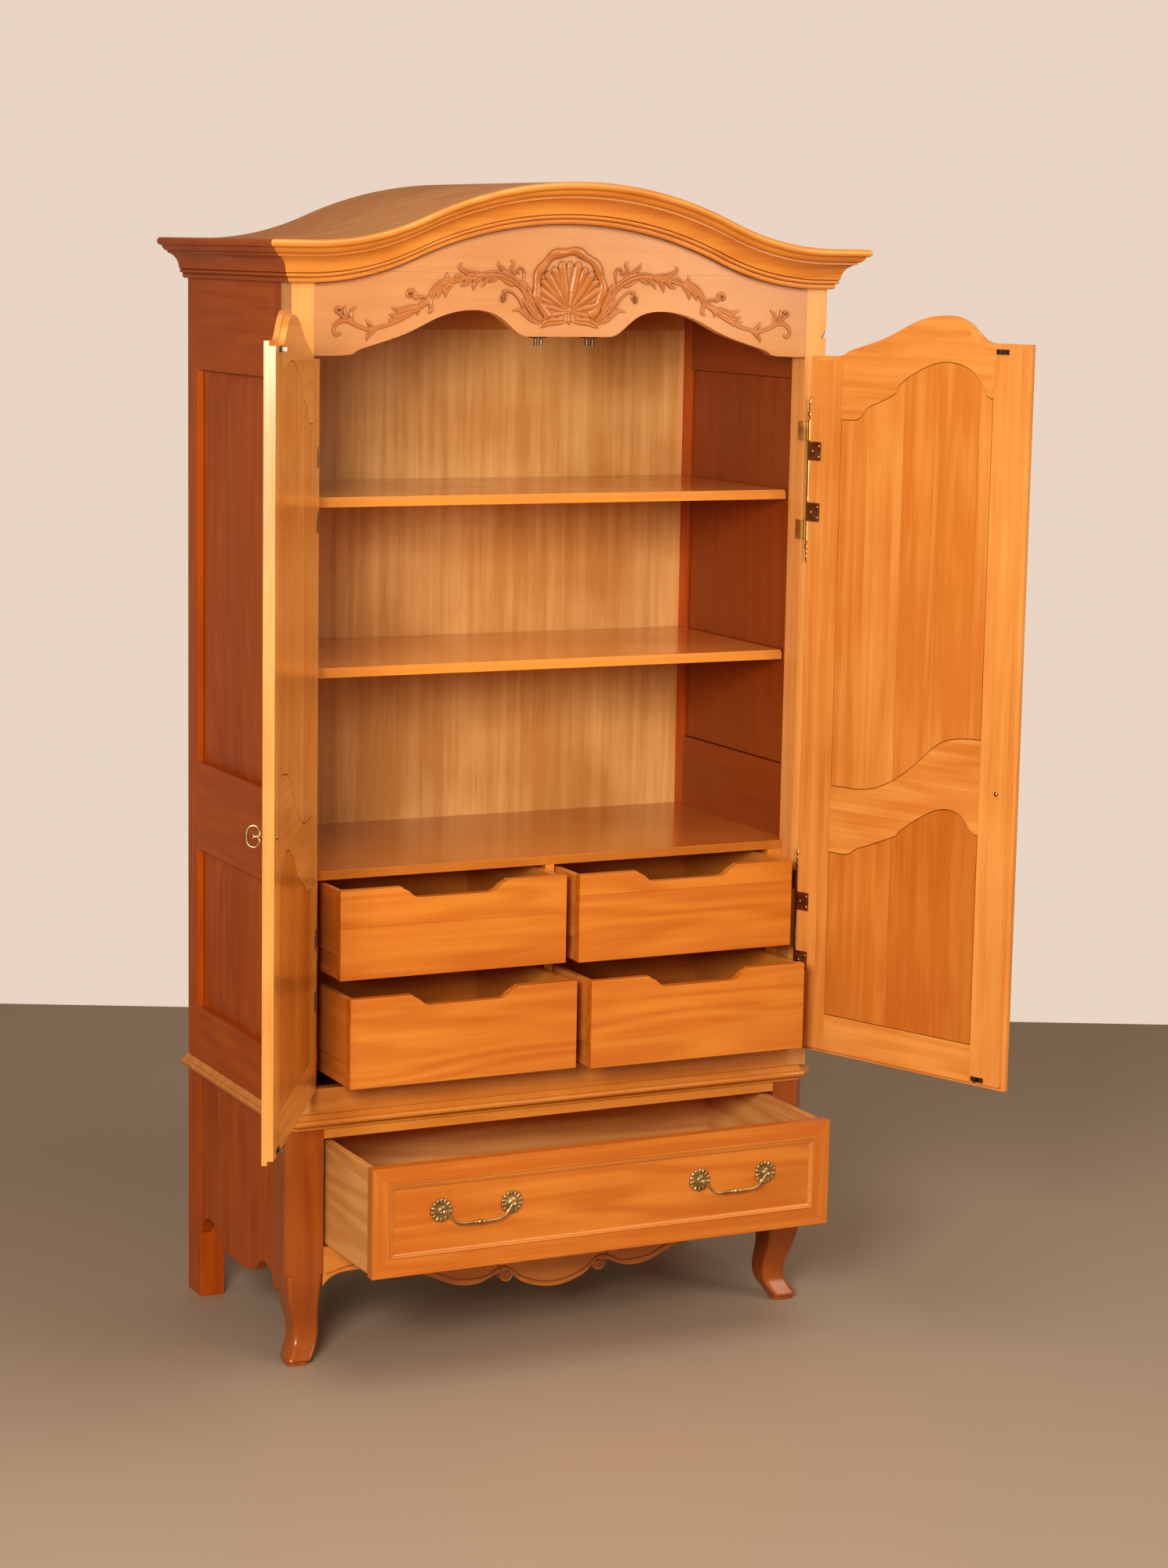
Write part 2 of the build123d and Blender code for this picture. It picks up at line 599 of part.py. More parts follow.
# ------------------------------------------------------------------- the doors
def post_leaf(z):
    """The two short leaves that wrap a post's corner at one hinge, with their knuckles."""
    pieces = []
    for low, high in ((z + DOOR_KNUCKLE + 0.5, z + POST_KNUCKLE), (z - POST_KNUCKLE, z - DOOR_KNUCKLE - 0.5)):
        span = (low, high)
        leaf = block((OPENING - 1.5, OPENING), (FRONT, FRONT + 18), span)
        leaf = leaf + block((OPENING - 1.5, HINGE_X - 0.5), (FRONT, FRONT + 1.5), span)
        leaf = leaf + block((HINGE_X - 4, HINGE_X - 0.5), (HINGE_Y + 2, FRONT + 1.5), span)
        leaf = leaf + cylinder_z(HINGE_X, HINGE_Y, span, BARREL_R)
        pieces.append(leaf - cylinder_z(HINGE_X, HINGE_Y, (low - 1, high + 1), PIN_R + RUNNING_CLEARANCE))
    return pieces


def door_leaf(z):
    """A closed right-hand door's long knuckle with its two leaves round the door's edge."""
    span = (z - DOOR_KNUCKLE, z + DOOR_KNUCKLE)
    knuckle = cylinder_z(HINGE_X, HINGE_Y, span, BARREL_R)
    side = OPENING - 5
    for low, high in ((z + 40, span[1]), (span[0], z - 40)):
        tall = (low, high)
        knuckle = knuckle + block((DOOR_SIDE + 0.2, HINGE_X - 2.5), (HINGE_Y - 1, DOOR_MID_Y), tall)
        knuckle = knuckle + block((side, DOOR_SIDE + 0.5), (DOOR_MID_Y - 1.5, DOOR_MID_Y), tall)
        knuckle = knuckle + block((side, side + 1.5), (DOOR_MID_Y - 1.5, DOOR_IN_Y + 1), tall)
        knuckle = knuckle + block((side - 28, side + 1.5), (DOOR_IN_Y - 0.5, DOOR_IN_Y + 1), tall)
    return knuckle - cylinder_z(HINGE_X, HINGE_Y, (span[0] - 1, span[1] + 1), PIN_R + RUNNING_CLEARANCE)


def hinge_pin(z):
    """A hinge pin with a turned finial at each end."""
    pin = cylinder_z(HINGE_X, HINGE_Y, (z - POST_KNUCKLE - 2, z + POST_KNUCKLE + 2), PIN_R)
    profile = Polyline((0, 0), (4.5, 0), (4.5, 3), (2.6, 6), (4.8, 12), (4.8, 16), (2.4, 20), (3.6, 25),
                       (2.2, 29), (3.4, 35), (2.4, 42), (0, 48), close=True)
    turned = revolve(Face(Wire((Plane.XZ * profile).edges())), Axis.Z, 360)
    top = Pos(HINGE_X, HINGE_Y, z + POST_KNUCKLE + 0.4) * turned
    bottom = Pos(HINGE_X, HINGE_Y, z - POST_KNUCKLE - 0.4) * Rot(180, 0, 0) * turned
    return pin + top + bottom


def key_pull():
    """A fixed pull shaped like a key's bow: an upright oval on a stem, with its nut inside the door."""
    stem = Pos(0, DOOR_OUT_Y - 3, 0) * Rot(90, 0, 0) * Cylinder(3, 6)
    plate = Pos(0, DOOR_OUT_Y - 1.5, 0) * Rot(90, 0, 0) * Cylinder(8, 3)
    ring = Pos(0, DOOR_OUT_Y - 18, 0) * Rot(0, 90, 0) * Rot(0, 0, 90)
    path = ring * Ellipse(13, 19).edges()[0]
    start = path @ 0
    bow = sweep(Plane(origin=start, z_dir=path % 0) * Circle(2), path=path)
    return Pos(KEY_PULL_X, 0, KEY_PULL_Z) * (plate + stem + bow)


def key_nut():
    nut = Pos(0, DOOR_IN_Y + 1.5, 0) * Rot(90, 0, 0) * Cylinder(4, 3)
    return Pos(KEY_PULL_X, 0, KEY_PULL_Z) * nut


def strikes():
    """The tongues that press between the catches' rollers."""
    pieces = []
    for z in (1874.0, 535.5):
        plate = block((CATCH_X - 14, CATCH_X + 14), (DOOR_IN_Y, DOOR_IN_Y + 1.2), (z - 4.5, z + 4.5))
        tongue = block((CATCH_X - 1.4, CATCH_X + 1.4), (DOOR_IN_Y + 1.2, CATCH_Y + 2), (z - 3.5, z + 3.5))
        pieces.append(plate + tongue)
    return pieces


def door_parts(free, rebated):
    """One closed right-hand door as a dictionary of its pieces."""
    inner_free = free + LIP if rebated else free
    outer = door_blank(free, DOOR_SIDE, DOOR_BOTTOM, 4.0, (DOOR_OUT_Y, DOOR_MID_Y))
    inner = door_blank(inner_free, OPENING - 5, DOOR_BOTTOM + LIP, -4.0, (DOOR_MID_Y, DOOR_IN_Y))
    blank = outer + inner
    leaves = [door_leaf(z) for z in HINGE_HEIGHTS]
    deep = (DOOR_OUT_Y - 1, DOOR_IN_Y + 1)
    stiles = [
        blank & block((free - 1, STILE_FREE_X), deep, (0, 2000)),
        blank & block((STILE_HINGE_X, DOOR_SIDE + 1), deep, (0, 2000)),
    ]
    for leaf in leaves:
        stiles[1] = stiles[1] - leaf
    middle = blank & block((STILE_FREE_X, STILE_HINGE_X), deep, (0, 2000))
    outlines = {"upper_panel": upper_panel_edges(), "lower_panel": lower_panel_edges()}
    parts = {}
    tongue_y = (DOOR_OUT_Y + 6.5, DOOR_OUT_Y + 11.5)
    groove_y = (tongue_y[0] - 0.3, tongue_y[1] + 0.3)
    for name, edges in outlines.items():
        middle = middle - panel_board(edges, 0, deep)
        groove = panel_board(edges, PANEL_TONGUE + 0.5, groove_y)
        middle = middle - groove
        stiles = [stile - groove for stile in stiles]
        tongue = panel_board(edges, PANEL_TONGUE, tongue_y)
        back = panel_board(edges, -PANEL_GAP, (tongue_y[1], DOOR_IN_Y))
        field = panel_board(edges, -26, (DOOR_OUT_Y + 2, tongue_y[0]))
        parts[name] = tongue + back + field
    parts["stiles"] = stiles
    parts["rails"] = middle
    parts["hinge_leaves"] = leaves
    parts["key_pull"] = [key_pull(), key_nut()]
    parts["strikes"] = strikes()
    return parts


def build_doors():
    save("post_hinge_leaves", [on_right_and_left(piece) for z in HINGE_HEIGHTS for piece in post_leaf(z)])
    save("hinge_pins", [on_right_and_left(hinge_pin(z)) for z in HINGE_HEIGHTS])
    for side, sign, free, opened in (
        ("left", -1, LEFT_DOOR_FREE, LEFT_DOOR_OPEN),
        ("right", 1, RIGHT_DOOR_FREE, RIGHT_DOOR_OPEN),
    ):
        swing = Pos(sign * HINGE_X, HINGE_Y, 0) * Rot(0, 0, sign * opened) * Pos(-sign * HINGE_X, -HINGE_Y, 0)
        for name, pieces in door_parts(free, rebated=sign > 0).items():
            solids = solids_of(pieces)
            if sign < 0:
                solids = [solid.mirror(Plane.YZ) for solid in solids]
            save(f"{side}_door_{name}", [swing * solid for solid in solids])


# ------------------------------------------------------------ the small drawers
def scooped_front(x, z, y):
    """A drawer front with a finger scoop in its top edge."""
    middle = (x[0] + x[1]) / 2
    top = z[1]
    half = [(105, top), (96, top - 6), (82, top - 17), (66, top - 21)]
    right = curve(*[(middle + a, b) for a, b in half], tangents=[(-0.35, -1), (-1, 0)])
    left = curve(*[(middle - a, b) for a, b in half], tangents=[(0.35, -1), (1, 0)])
    edges = [left, right]
    edges += polyline((middle - 66, top - 21), (middle + 66, top - 21))
    edges += polyline((middle + 105, top), (x[1], top), (x[1], z[0]))
    edges += polyline((x[1], z[0]), (x[0], z[0]), (x[0], top), (middle - 105, top))
    return slab(edges, y)


def small_drawer_box(x, z, y):
    """Two grooved sides, a back and a bottom board behind a small drawer's front."""
    side_x = ((x[0], x[0] + DRAWER_SIDE), (x[1] - DRAWER_SIDE, x[1]))
    groove_z = (z[0] + RUNNER_LOW - 1, z[0] + RUNNER_HIGH + 1)
    grooves = [block((x[0] - 1, x[0] + 5), (y[0] - 1, y[1] + 1), groove_z),
               block((x[1] - 5, x[1] + 1), (y[0] - 1, y[1] + 1), groove_z)]
    sides = [block(span, y, (z[0], z[1] - 3)) - groove for span, groove in zip(side_x, grooves)]
    inner = (side_x[0][1], side_x[1][0])
    back = block(inner, (y[1] - DRAWER_SIDE, y[1]), (z[0] + 11, z[1] - 8))
    bottom = block(inner, (y[0], y[1]), (z[0] + 5, z[0] + 11))
    return [*sides, back, bottom]


def build_small_drawers():
    for row, bottom in ROW_BOTTOM.items():
        for side, sign in (("left", -1), ("right", 1)):
            out = PULLED_OUT[f"{row}_{side}"]
            x = (DRAWER_IN_X, DRAWER_OUT_X) if sign > 0 else (-DRAWER_OUT_X, -DRAWER_IN_X)
            z = (bottom, bottom + DRAWER_H)
            front = DRAWER_ROW_Y - out
            face_y = (front, front + DRAWER_FRONT_THICK)
            save(f"{row}_{side}_drawer_front", scooped_front(x, z, face_y))
            box_y = (face_y[1], front + DRAWER_LENGTH)
            save(f"{row}_{side}_drawer_box", small_drawer_box((x[0] + 2, x[1] - 2), z, box_y))


# -------------------------------------------------------------- the base drawer
BASE_DRAWER_Y = FRONT + 1 - BASE_DRAWER_OUT


def mitred_frame(half, z, width, y):
    """Four boards mitred round an opening."""
    outer = [(-half, z[0]), (half, z[0]), (half, z[1]), (-half, z[1])]
    inner = [(-half + width, z[0] + width), (half - width, z[0] + width),
             (half - width, z[1] - width), (-half + width, z[1] - width)]
    pieces = []
    for i in range(4):
        j = (i + 1) % 4
        pieces.append(slab(polyline(outer[i], outer[j], inner[j], inner[i], outer[i]), y))
    return pieces


def bail():
    """A drop handle: a rod with a turned swelling at its middle, hanging from its two ends."""
    span, drop = PULL_HALF_SPAN, BAIL_DROP
    points = [(-span - 6, 0), (-span + 10, 0), (-span + 20, -drop)]
    points += [(-x, z) for x, z in reversed(points)]
    path = FilletPolyline(*[at(*p) for p in points], radius=7)
    rod = sweep(Plane(origin=path @ 0, z_dir=path % 0) * Circle(BAIL_R), path=path)
    bead = Pos(0, 0, -drop) * Sphere(4.5)
    return rod + bead


def rosette():
    """A round back plate with a bored post that holds one end of a handle."""
    plate = Pos(0, -2, 0) * Rot(90, 0, 0) * Cylinder(ROSETTE_R, 4)
    dome = Pos(0, -5.5, 0) * Rot(90, 0, 0) * Cylinder(11, 3)
    post = Pos(0, -12, 0) * Rot(90, 0, 0) * Cylinder(5, 14)
    bore = Pos(0, -BAIL_OUT, 0) * Rot(0, 90, 0) * Cylinder(BAIL_R + RUNNING_CLEARANCE, 20)
    return plate + dome + post - bore


def build_base_drawer():
    y = (BASE_DRAWER_Y, BASE_DRAWER_Y + BASE_FRONT_THICK)
    z = (BASE_DRAWER_BOTTOM, BASE_DRAWER_TOP)
    half, frame = BASE_DRAWER_HALF, BASE_FRAME_W
    save("base_drawer_frame", mitred_frame(half, z, frame, y))
    panel = block((-half + frame, half - frame), (y[0] + 4, y[1] - 2), (z[0] + frame, z[1] - frame))
    save("base_drawer_panel", panel)
    side_y = (y[1], BASE_DRAWER_Y + BASE_DRAWER_LENGTH)
    side_z = (z[0] + 3, z[1] - 4)
    sides = on_right_and_left(block((half - 17, half - 4), side_y, side_z))
    back = block((-half + 17, half - 17), (side_y[1] - 13, side_y[1]), (z[0] + 19, z[1] - 12))
    bottom = block((-half + 17, half - 17), side_y, (z[0] + 11, z[0] + 19))
    save("base_drawer_box", sides, back, bottom)
    plates = []
    for side, sign in (("left", -1), ("right", 1)):
        centre = Pos(sign * PULL_CENTRE_X, panel_front(y), PULL_Z)
        for end in (-1, 1):
            plates.append(centre * Pos(end * PULL_HALF_SPAN, 0, 0) * rosette())
        save(f"{side}_bail_handle", centre * Pos(0, -BAIL_OUT, 0) * bail())
    save("handle_rosettes", plates)


def panel_front(y):
    """The depth of the base drawer panel's face, which the handles stand on."""
    return y[0] + 4


def main():
    os.makedirs("parts", exist_ok=True)
    build_crown()
    build_sides()
    build_inside()
    build_base()
    build_doors()
    build_small_drawers()
    build_base_drawer()


main()
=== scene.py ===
"""An arched armoire in amber-lacquered maple: its finishes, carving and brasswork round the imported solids."""

import logging
import math
from dataclasses import dataclass, replace
from enum import Enum
from typing import Callable, Iterable, Optional, Sequence, Union

import bpy
from mathutils import Matrix, Vector


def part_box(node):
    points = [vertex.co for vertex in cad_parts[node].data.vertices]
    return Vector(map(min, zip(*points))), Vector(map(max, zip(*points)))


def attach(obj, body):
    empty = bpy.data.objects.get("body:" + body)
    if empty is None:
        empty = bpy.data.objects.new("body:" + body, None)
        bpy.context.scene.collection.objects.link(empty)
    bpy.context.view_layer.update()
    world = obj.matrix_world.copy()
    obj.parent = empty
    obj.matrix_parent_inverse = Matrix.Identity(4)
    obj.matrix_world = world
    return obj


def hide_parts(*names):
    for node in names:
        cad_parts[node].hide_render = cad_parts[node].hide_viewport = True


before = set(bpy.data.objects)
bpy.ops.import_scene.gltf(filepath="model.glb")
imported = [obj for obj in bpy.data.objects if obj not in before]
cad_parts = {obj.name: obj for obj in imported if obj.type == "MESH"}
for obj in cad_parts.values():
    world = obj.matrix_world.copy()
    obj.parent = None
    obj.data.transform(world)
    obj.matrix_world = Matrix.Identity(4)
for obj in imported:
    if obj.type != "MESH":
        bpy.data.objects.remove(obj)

LOG = logging.getLogger("armoire")
MM = 0.001
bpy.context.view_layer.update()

Socket = bpy.types.NodeSocket
Outputs = bpy.types.bpy_prop_collection
Value = Union[float, Sequence[float], Socket]
Inputs = dict[Union[str, int], Value]
Colour = tuple[float, float, float]
Place = tuple[float, float, float]
Point = tuple[float, float]
Stroke = tuple[Place, ...]

FRONT_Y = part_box("frieze")[0].y
HINGE_X = 0.507
HINGE_Y = FRONT_Y - 8 * MM
SIDES = ((-1, "left"), (1, "right"))
OPEN_ANGLE = {-1: -120.0, 1: 111.0}
LAMP_TARGET = (0.0, 0.0, 1.1)

JOINT_WIDTH = 0.0011
PORE_DEPTH = 0.08
DARK_SHARE = 0.32
SMEAR = 0.22
# Painted shade: side faces nearer the middle than this, inside the case, darken to the brown below.
INSIDE_SHADE_X = 0.52
INSIDE_SHADE_BROWN = (0.16, 0.03, 0.002)
# Brown laid into recesses: partly glaze, partly painted shade where the light does not reach.
GLAZE_AND_SHADE_BROWN = (0.12, 0.027, 0.006)
SEAM_BROWN = (0.1, 0.022, 0.005)
DUST_GREY = (0.36, 0.27, 0.2)


# ------------------------------------------------------------------ node trees
class Graph:
    """Adds nodes to one node tree, in the words a finish is written in."""

    def __init__(self, tree: bpy.types.NodeTree) -> None:
        """Works on a material's tree or a group's.

        Args:
            tree: The tree that new nodes go into.
        """
        self.tree = tree

    def node(self, kind: str, inputs: Optional[Inputs] = None, **settings: object) -> bpy.types.Node:
        """Adds one node.

        Args:
            kind: The node's type, without its ShaderNode prefix.
            inputs: Values or sockets for its inputs, by name or number.
            **settings: Properties of the node itself.

        Returns:
            The new node.
        """
        made = self.tree.nodes.new("ShaderNode" + kind)
        for name, value in settings.items():
            setattr(made, name, value)
        for key, value in (inputs or {}).items():
            self.feed(made.inputs[key], value)
        return made

    def feed(self, socket: Socket, value: Value) -> None:
        """Links a socket to an input, or sets the input's own value.

        Args:
            socket: The input.
            value: A socket to link, a number, or a colour or vector.
        """
        if isinstance(value, bpy.types.NodeSocket):
            self.tree.links.new(value, socket)
        elif isinstance(value, (int, float)):
            socket.default_value = value
        else:
            wanted = len(socket.default_value)
            socket.default_value = (*value, 1.0)[:wanted] if len(value) < wanted else tuple(value)

    def math(self, operation: str, a: Value, b: Value = 0.0, c: Value = 0.0, clamp: bool = False) -> Socket:
        """Adds a Math node and gives its result.

        Args:
            operation: The node's operation.
            a: Its first value.
            b: Its second value.
            c: Its third value, where it has one.
            clamp: Whether the result is kept between 0 and 1.

        Returns:
            The result's socket.
        """
        return self.node("Math", {0: a, 1: b, 2: c}, operation=operation, use_clamp=clamp).outputs[0]

    def times(self, a: Value, b: Value) -> Socket:
        """Gives the product of two values."""
        return self.math("MULTIPLY", a, b)

    def plus(self, value: Value, by: Value, base: Value, clamp: bool = False) -> Socket:
        """Gives a value times another, added to a base."""
        return self.math("MULTIPLY_ADD", value, by, base, clamp)

    def rest_of(self, value: Value) -> Socket:
        """Gives one minus a value."""
        return self.math("SUBTRACT", 1.0, value)

    def axes(self, vector: Value) -> Outputs:
        """Gives a vector's three parts."""
        return self.node("SeparateXYZ", {0: vector}).outputs

    def mix(self, amount: Value, a: Value, b: Value) -> Socket:
        """Mixes two colours.

        Args:
            amount: How much of the second colour, from 0 to 1.
            a: The first colour.
            b: The second colour.

        Returns:
            The mixed colour's socket.
        """
        made = self.node("Mix", {0: amount, 6: a, 7: b}, data_type="RGBA", clamp_factor=True)
        return made.outputs[2]

    def tint(self, under: Value, mask: Value, amount: float, over: Value) -> Socket:
        """Lays a colour over another where a mask says so.

        Args:
            under: The colour below.
            mask: Where the other colour lies.
            amount: How strong it is there.
            over: The colour on top.

        Returns:
            The resulting colour's socket.
        """
        return self.mix(self.times(mask, amount), under, over)

    def between(self, value: Value, low: float, high: float) -> Socket:
        """Maps a range onto 0 to 1 with soft ends.

        Args:
            value: The value to map.
            low: Where the result is 0.
            high: Where the result is 1.

        Returns:
            The result's socket.
        """
        made = self.node("MapRange", {0: value, 1: low, 2: high}, interpolation_type="SMOOTHSTEP")
        return made.outputs[0]

    def noise(self, vector: Value, scale: Value, detail: float = 2.0, rough: float = 0.5) -> Socket:
        """Adds a noise pattern and gives its value."""
        inputs = {"Vector": vector, "Scale": scale, "Detail": detail, "Roughness": rough}
        return self.node("TexNoise", inputs).outputs[0]

    def scaled(self, vector: Value, by: Value, shift: Value = (0.0, 0.0, 0.0)) -> Socket:
        """Multiplies a vector and adds a shift, axis by axis."""
        made = self.node("VectorMath", {0: vector, 1: by, 2: shift}, operation="MULTIPLY_ADD")
        return made.outputs[0]

    def group(self, kit: "Kit", **values: Value) -> Outputs:
        """Places a shared group.

        Args:
            kit: Which group.
            **values: Its inputs, named in small letters.

        Returns:
            The placed group's outputs.
        """
        made = self.node("Group", node_tree=shared_group(kit))
        for name, value in values.items():
            self.feed(made.inputs[name.title()], value)
        return made.outputs

    def surface(self, inputs: Inputs) -> None:
        """Ends a material with a Principled shader."""
        shader = self.node("BsdfPrincipled", inputs)
        self.feed(self.node("OutputMaterial").inputs[0], shader.outputs[0])


def new_material(name: str) -> tuple[bpy.types.Material, Graph]:
    """Makes a material with an empty node tree.

    Args:
        name: The material's name.

    Returns:
        The material and the graph of its tree.
    """
    material = bpy.data.materials.new(name)
    material.use_nodes = True
    material.node_tree.nodes.clear()
    return material, Graph(material.node_tree)


class Kit(Enum):
    """The shader groups that more than one finish uses."""

    BOARDS = "boards"
    WORN_EDGE = "worn_edge"
    # Recess mask: glaze and painted shade on the wood, tarnish on the brass.
    GRIME = "grime"
    KNOTS = "knots"
    HANDLING = "handling"


class SharedGroup(Graph):
    """A shader group while it is being built."""

    def __init__(self, kit: Kit, outputs: str, vector: bool = True, **inputs: float) -> None:
        """Starts the group.

        Args:
            kit: Which group it is.
            outputs: Its outputs' names, all numbers apart from Normal.
            vector: Whether it takes a Vector.
            **inputs: Its number inputs and their usual values.
        """
        super().__init__(bpy.data.node_groups.new(kit.value, "ShaderNodeTree"))
        face = self.tree.interface
        if vector:
            face.new_socket("Vector", in_out="INPUT", socket_type="NodeSocketVector")
        for name, usual in inputs.items():
            face.new_socket(name, in_out="INPUT", socket_type="NodeSocketFloat").default_value = usual
        for name in outputs.split():
            kind = "Vector" if name == "Normal" else "Float"
            face.new_socket(name, in_out="OUTPUT", socket_type="NodeSocket" + kind)
        self.given = self.tree.nodes.new("NodeGroupInput").outputs
        self.leave = self.tree.nodes.new("NodeGroupOutput").inputs

    def give(self, **results: Socket) -> None:
        """Feeds the group's outputs."""
        for name, result in results.items():
            self.feed(self.leave[name], result)


def boards_group() -> None:
    """Glued boards: X runs across them and Z along the grain, and each has its own tone and figure."""
    graph = SharedGroup(Kit.BOARDS, "Tone Figure Streak Pores Joint", Width=0.1, Seed=0.0, Figure=9.0)
    given = graph.given
    place, width = given["Vector"], given["Width"]
    wander = graph.times(graph.noise(graph.scaled(place, (0.0, 0.0, 0.7)), 1.0), 0.004)
    across = graph.math("DIVIDE", graph.math("ADD", graph.axes(place)[0], wander), width)
    number = graph.math("FLOOR", across)
    cell = graph.node("CombineXYZ", {0: number, 1: given["Seed"]}).outputs[0]
    pick = graph.node("TexWhiteNoise", {"Vector": cell}).outputs
    offset = graph.scaled(pick[1], (7.0, 3.0, 11.0))
    shifted = graph.node("VectorMath", {0: place, 1: offset}, operation="ADD").outputs[0]
    slow = graph.noise(graph.scaled(shifted, (9.0, 9.0, 0.9)), 1.0, 2.0, 0.45)
    rings = graph.math("PINGPONG", graph.times(slow, given["Figure"]), 0.5)
    streak = graph.noise(graph.scaled(shifted, (55.0, 55.0, 1.6)), 1.0, 4.0, 0.6)
    pores = graph.noise(graph.scaled(shifted, (520.0, 520.0, 14.0)), 1.0, 2.0, 0.6)
    part = graph.math("FRACT", across)
    to_joint = graph.times(graph.math("MINIMUM", part, graph.rest_of(part)), width)
    graph.give(
        Tone=pick[0],
        Figure=graph.between(graph.times(rings, 2.0), 0.1, 0.95),
        Streak=graph.between(streak, 0.3, 0.72),
        Pores=graph.between(pores, 0.35, 0.7),
        Joint=graph.rest_of(graph.between(to_joint, 0.0, JOINT_WIDTH)),
    )


def worn_edge_group() -> None:
    """Corners eased by a small radius, and a mask of where the lacquer has rubbed thin on them."""
    graph = SharedGroup(Kit.WORN_EDGE, "Mask Normal", Radius=0.0015)
    eased = graph.node("Bevel", {"Radius": graph.given["Radius"]}, samples=4).outputs[0]
    flat = graph.node("NewGeometry").outputs["Normal"]
    facing = graph.node("VectorMath", {0: eased, 1: flat}, operation="DOT_PRODUCT").outputs["Value"]
    broken = graph.noise(graph.given["Vector"], 26.0, 3.0)
    corner = graph.rest_of(graph.between(facing, 0.86, 0.995))
    graph.give(Mask=graph.times(corner, graph.between(broken, 0.3, 0.62)), Normal=eased)


def occlusion_group() -> None:
    """A mask of recesses from ambient occlusion: glaze and painted shade on the wood, tarnish on the brass."""
    graph = SharedGroup(Kit.GRIME, "Mask", vector=False, Reach=0.01)
    reach = graph.given["Reach"]
    open_sky = graph.node("AmbientOcclusion", {"Distance": reach}, samples=6, only_local=False).outputs["AO"]
    graph.give(Mask=graph.rest_of(graph.between(open_sky, 0.48, 0.97)))


def knots_group() -> None:
    """Round knots with a dark rim, far apart, that only some cells of the board have."""
    graph = SharedGroup(Kit.KNOTS, "Mask Halo", Spacing=0.14)
    place = graph.given["Vector"]
    size = graph.math("DIVIDE", 1.0, graph.given["Spacing"])
    stretched = graph.scaled(place, (1.0, 1.0, 0.55))
    cells = graph.node("TexVoronoi", {"Vector": stretched, "Scale": size}).outputs
    share = graph.node("SeparateColor", {0: cells["Color"]}).outputs[0]
    chosen = graph.math("GREATER_THAN", share, 0.62)
    wobble = graph.times(graph.noise(place, 70.0, 2.0), 0.05)
    reach = graph.math("ADD", cells["Distance"], wobble)
    core = graph.rest_of(graph.between(reach, 0.045, 0.085))
    halo = graph.rest_of(graph.between(reach, 0.07, 0.3))
    graph.give(Mask=graph.times(core, chosen), Halo=graph.times(halo, chosen))


def handling_group() -> None:
    """Slow cloudy changes in colour and sheen from years of polish and hands."""
    graph = SharedGroup(Kit.HANDLING, "Cloud Smear", Size=0.35)
    place = graph.given["Vector"]
    cloud = graph.noise(place, graph.math("DIVIDE", 1.0, graph.given["Size"]), 3.0)
    graph.give(Cloud=graph.between(cloud, 0.32, 0.68), Smear=graph.noise(place, 9.0, 4.0, 0.62))


GROUP_MAKERS: dict[Kit, Callable[[], None]] = {
    Kit.BOARDS: boards_group,
    Kit.WORN_EDGE: worn_edge_group,
    Kit.GRIME: occlusion_group,
    Kit.KNOTS: knots_group,
    Kit.HANDLING: handling_group,
}


def shared_group(kit: Kit) -> bpy.types.NodeTree:
    """Gives a shader group, building it the first time.

    Args:
        kit: Which group.

    Returns:
        The group's node tree.
    """
    if kit.value not in bpy.data.node_groups:
        GROUP_MAKERS[kit]()
    return bpy.data.node_groups[kit.value]


# -------------------------------------------------------------------- finishes
class Grain(Enum):
    """Which way a board's grain runs, as the axes across it, through it and along it."""

    UPRIGHT = (0, 1, 2)
    UPRIGHT_ON_SIDE = (1, 0, 2)
    ACROSS = (2, 1, 0)
    ACROSS_FLAT = (1, 2, 0)
    DEEP = (2, 0, 1)


class Stain(Enum):
    """A wood's colour, where its grain is palest and where it is deepest; some hold painted shade, as marked
    below.
    """

    AMBER = ((0.76, 0.32, 0.06), (0.56, 0.18, 0.024))
    POST = ((0.78, 0.38, 0.12), (0.62, 0.25, 0.055))
    DOOR = ((0.84, 0.41, 0.12), (0.6, 0.21, 0.036))
    # Painted shade: the lower door panels, the upper boards made darker.
    LOWER_PANEL_IN_SHADE = ((0.71, 0.3, 0.065), (0.5, 0.155, 0.021))
    # Painted shade: the sides' colour, darker and redder than the front's.
    SIDE = ((0.52, 0.12, 0.006), (0.34, 0.055, 0.003))
    # Painted shade: the legs' colour, darker than the case above them.
    LEG_IN_SHADE = ((0.42, 0.11, 0.008), (0.26, 0.05, 0.004))
    FRIEZE = ((0.58, 0.29, 0.125), (0.5, 0.215, 0.075))
    CARVED = ((0.5, 0.185, 0.045), (0.36, 0.11, 0.022))
    # Painted shade: the drawer deck, the shelves' wood made darker.
    DECK_IN_SHADE = ((0.56, 0.2, 0.03), (0.4, 0.11, 0.012))
    INSIDE = ((0.95, 0.6, 0.25), (0.62, 0.3, 0.085))
    DRAWER = ((0.68, 0.26, 0.035), (0.5, 0.14, 0.012))
    MOULDED = ((0.68, 0.25, 0.04), (0.5, 0.15, 0.018))
    BARE = ((0.82, 0.45, 0.17), (0.6, 0.27, 0.075))


def turned_vector(graph: Graph, source: Socket, grain: Grain) -> Socket:
    """Reorders a position so that Z follows the grain and X crosses the boards.

    Args:
        graph: The tree being built.
        source: The position.
        grain: Which way the grain runs.

    Returns:
        The reordered vector.
    """
    axes = graph.axes(source)
    across, through, along = grain.value
    return graph.node("CombineXYZ", {0: axes[across], 1: axes[through], 2: axes[along]}).outputs[0]


@dataclass(frozen=True)
class Band:
    """A stretch along one axis where a frame's boards run another way."""

    axis: int
    low: float
    high: float
    grain: Grain


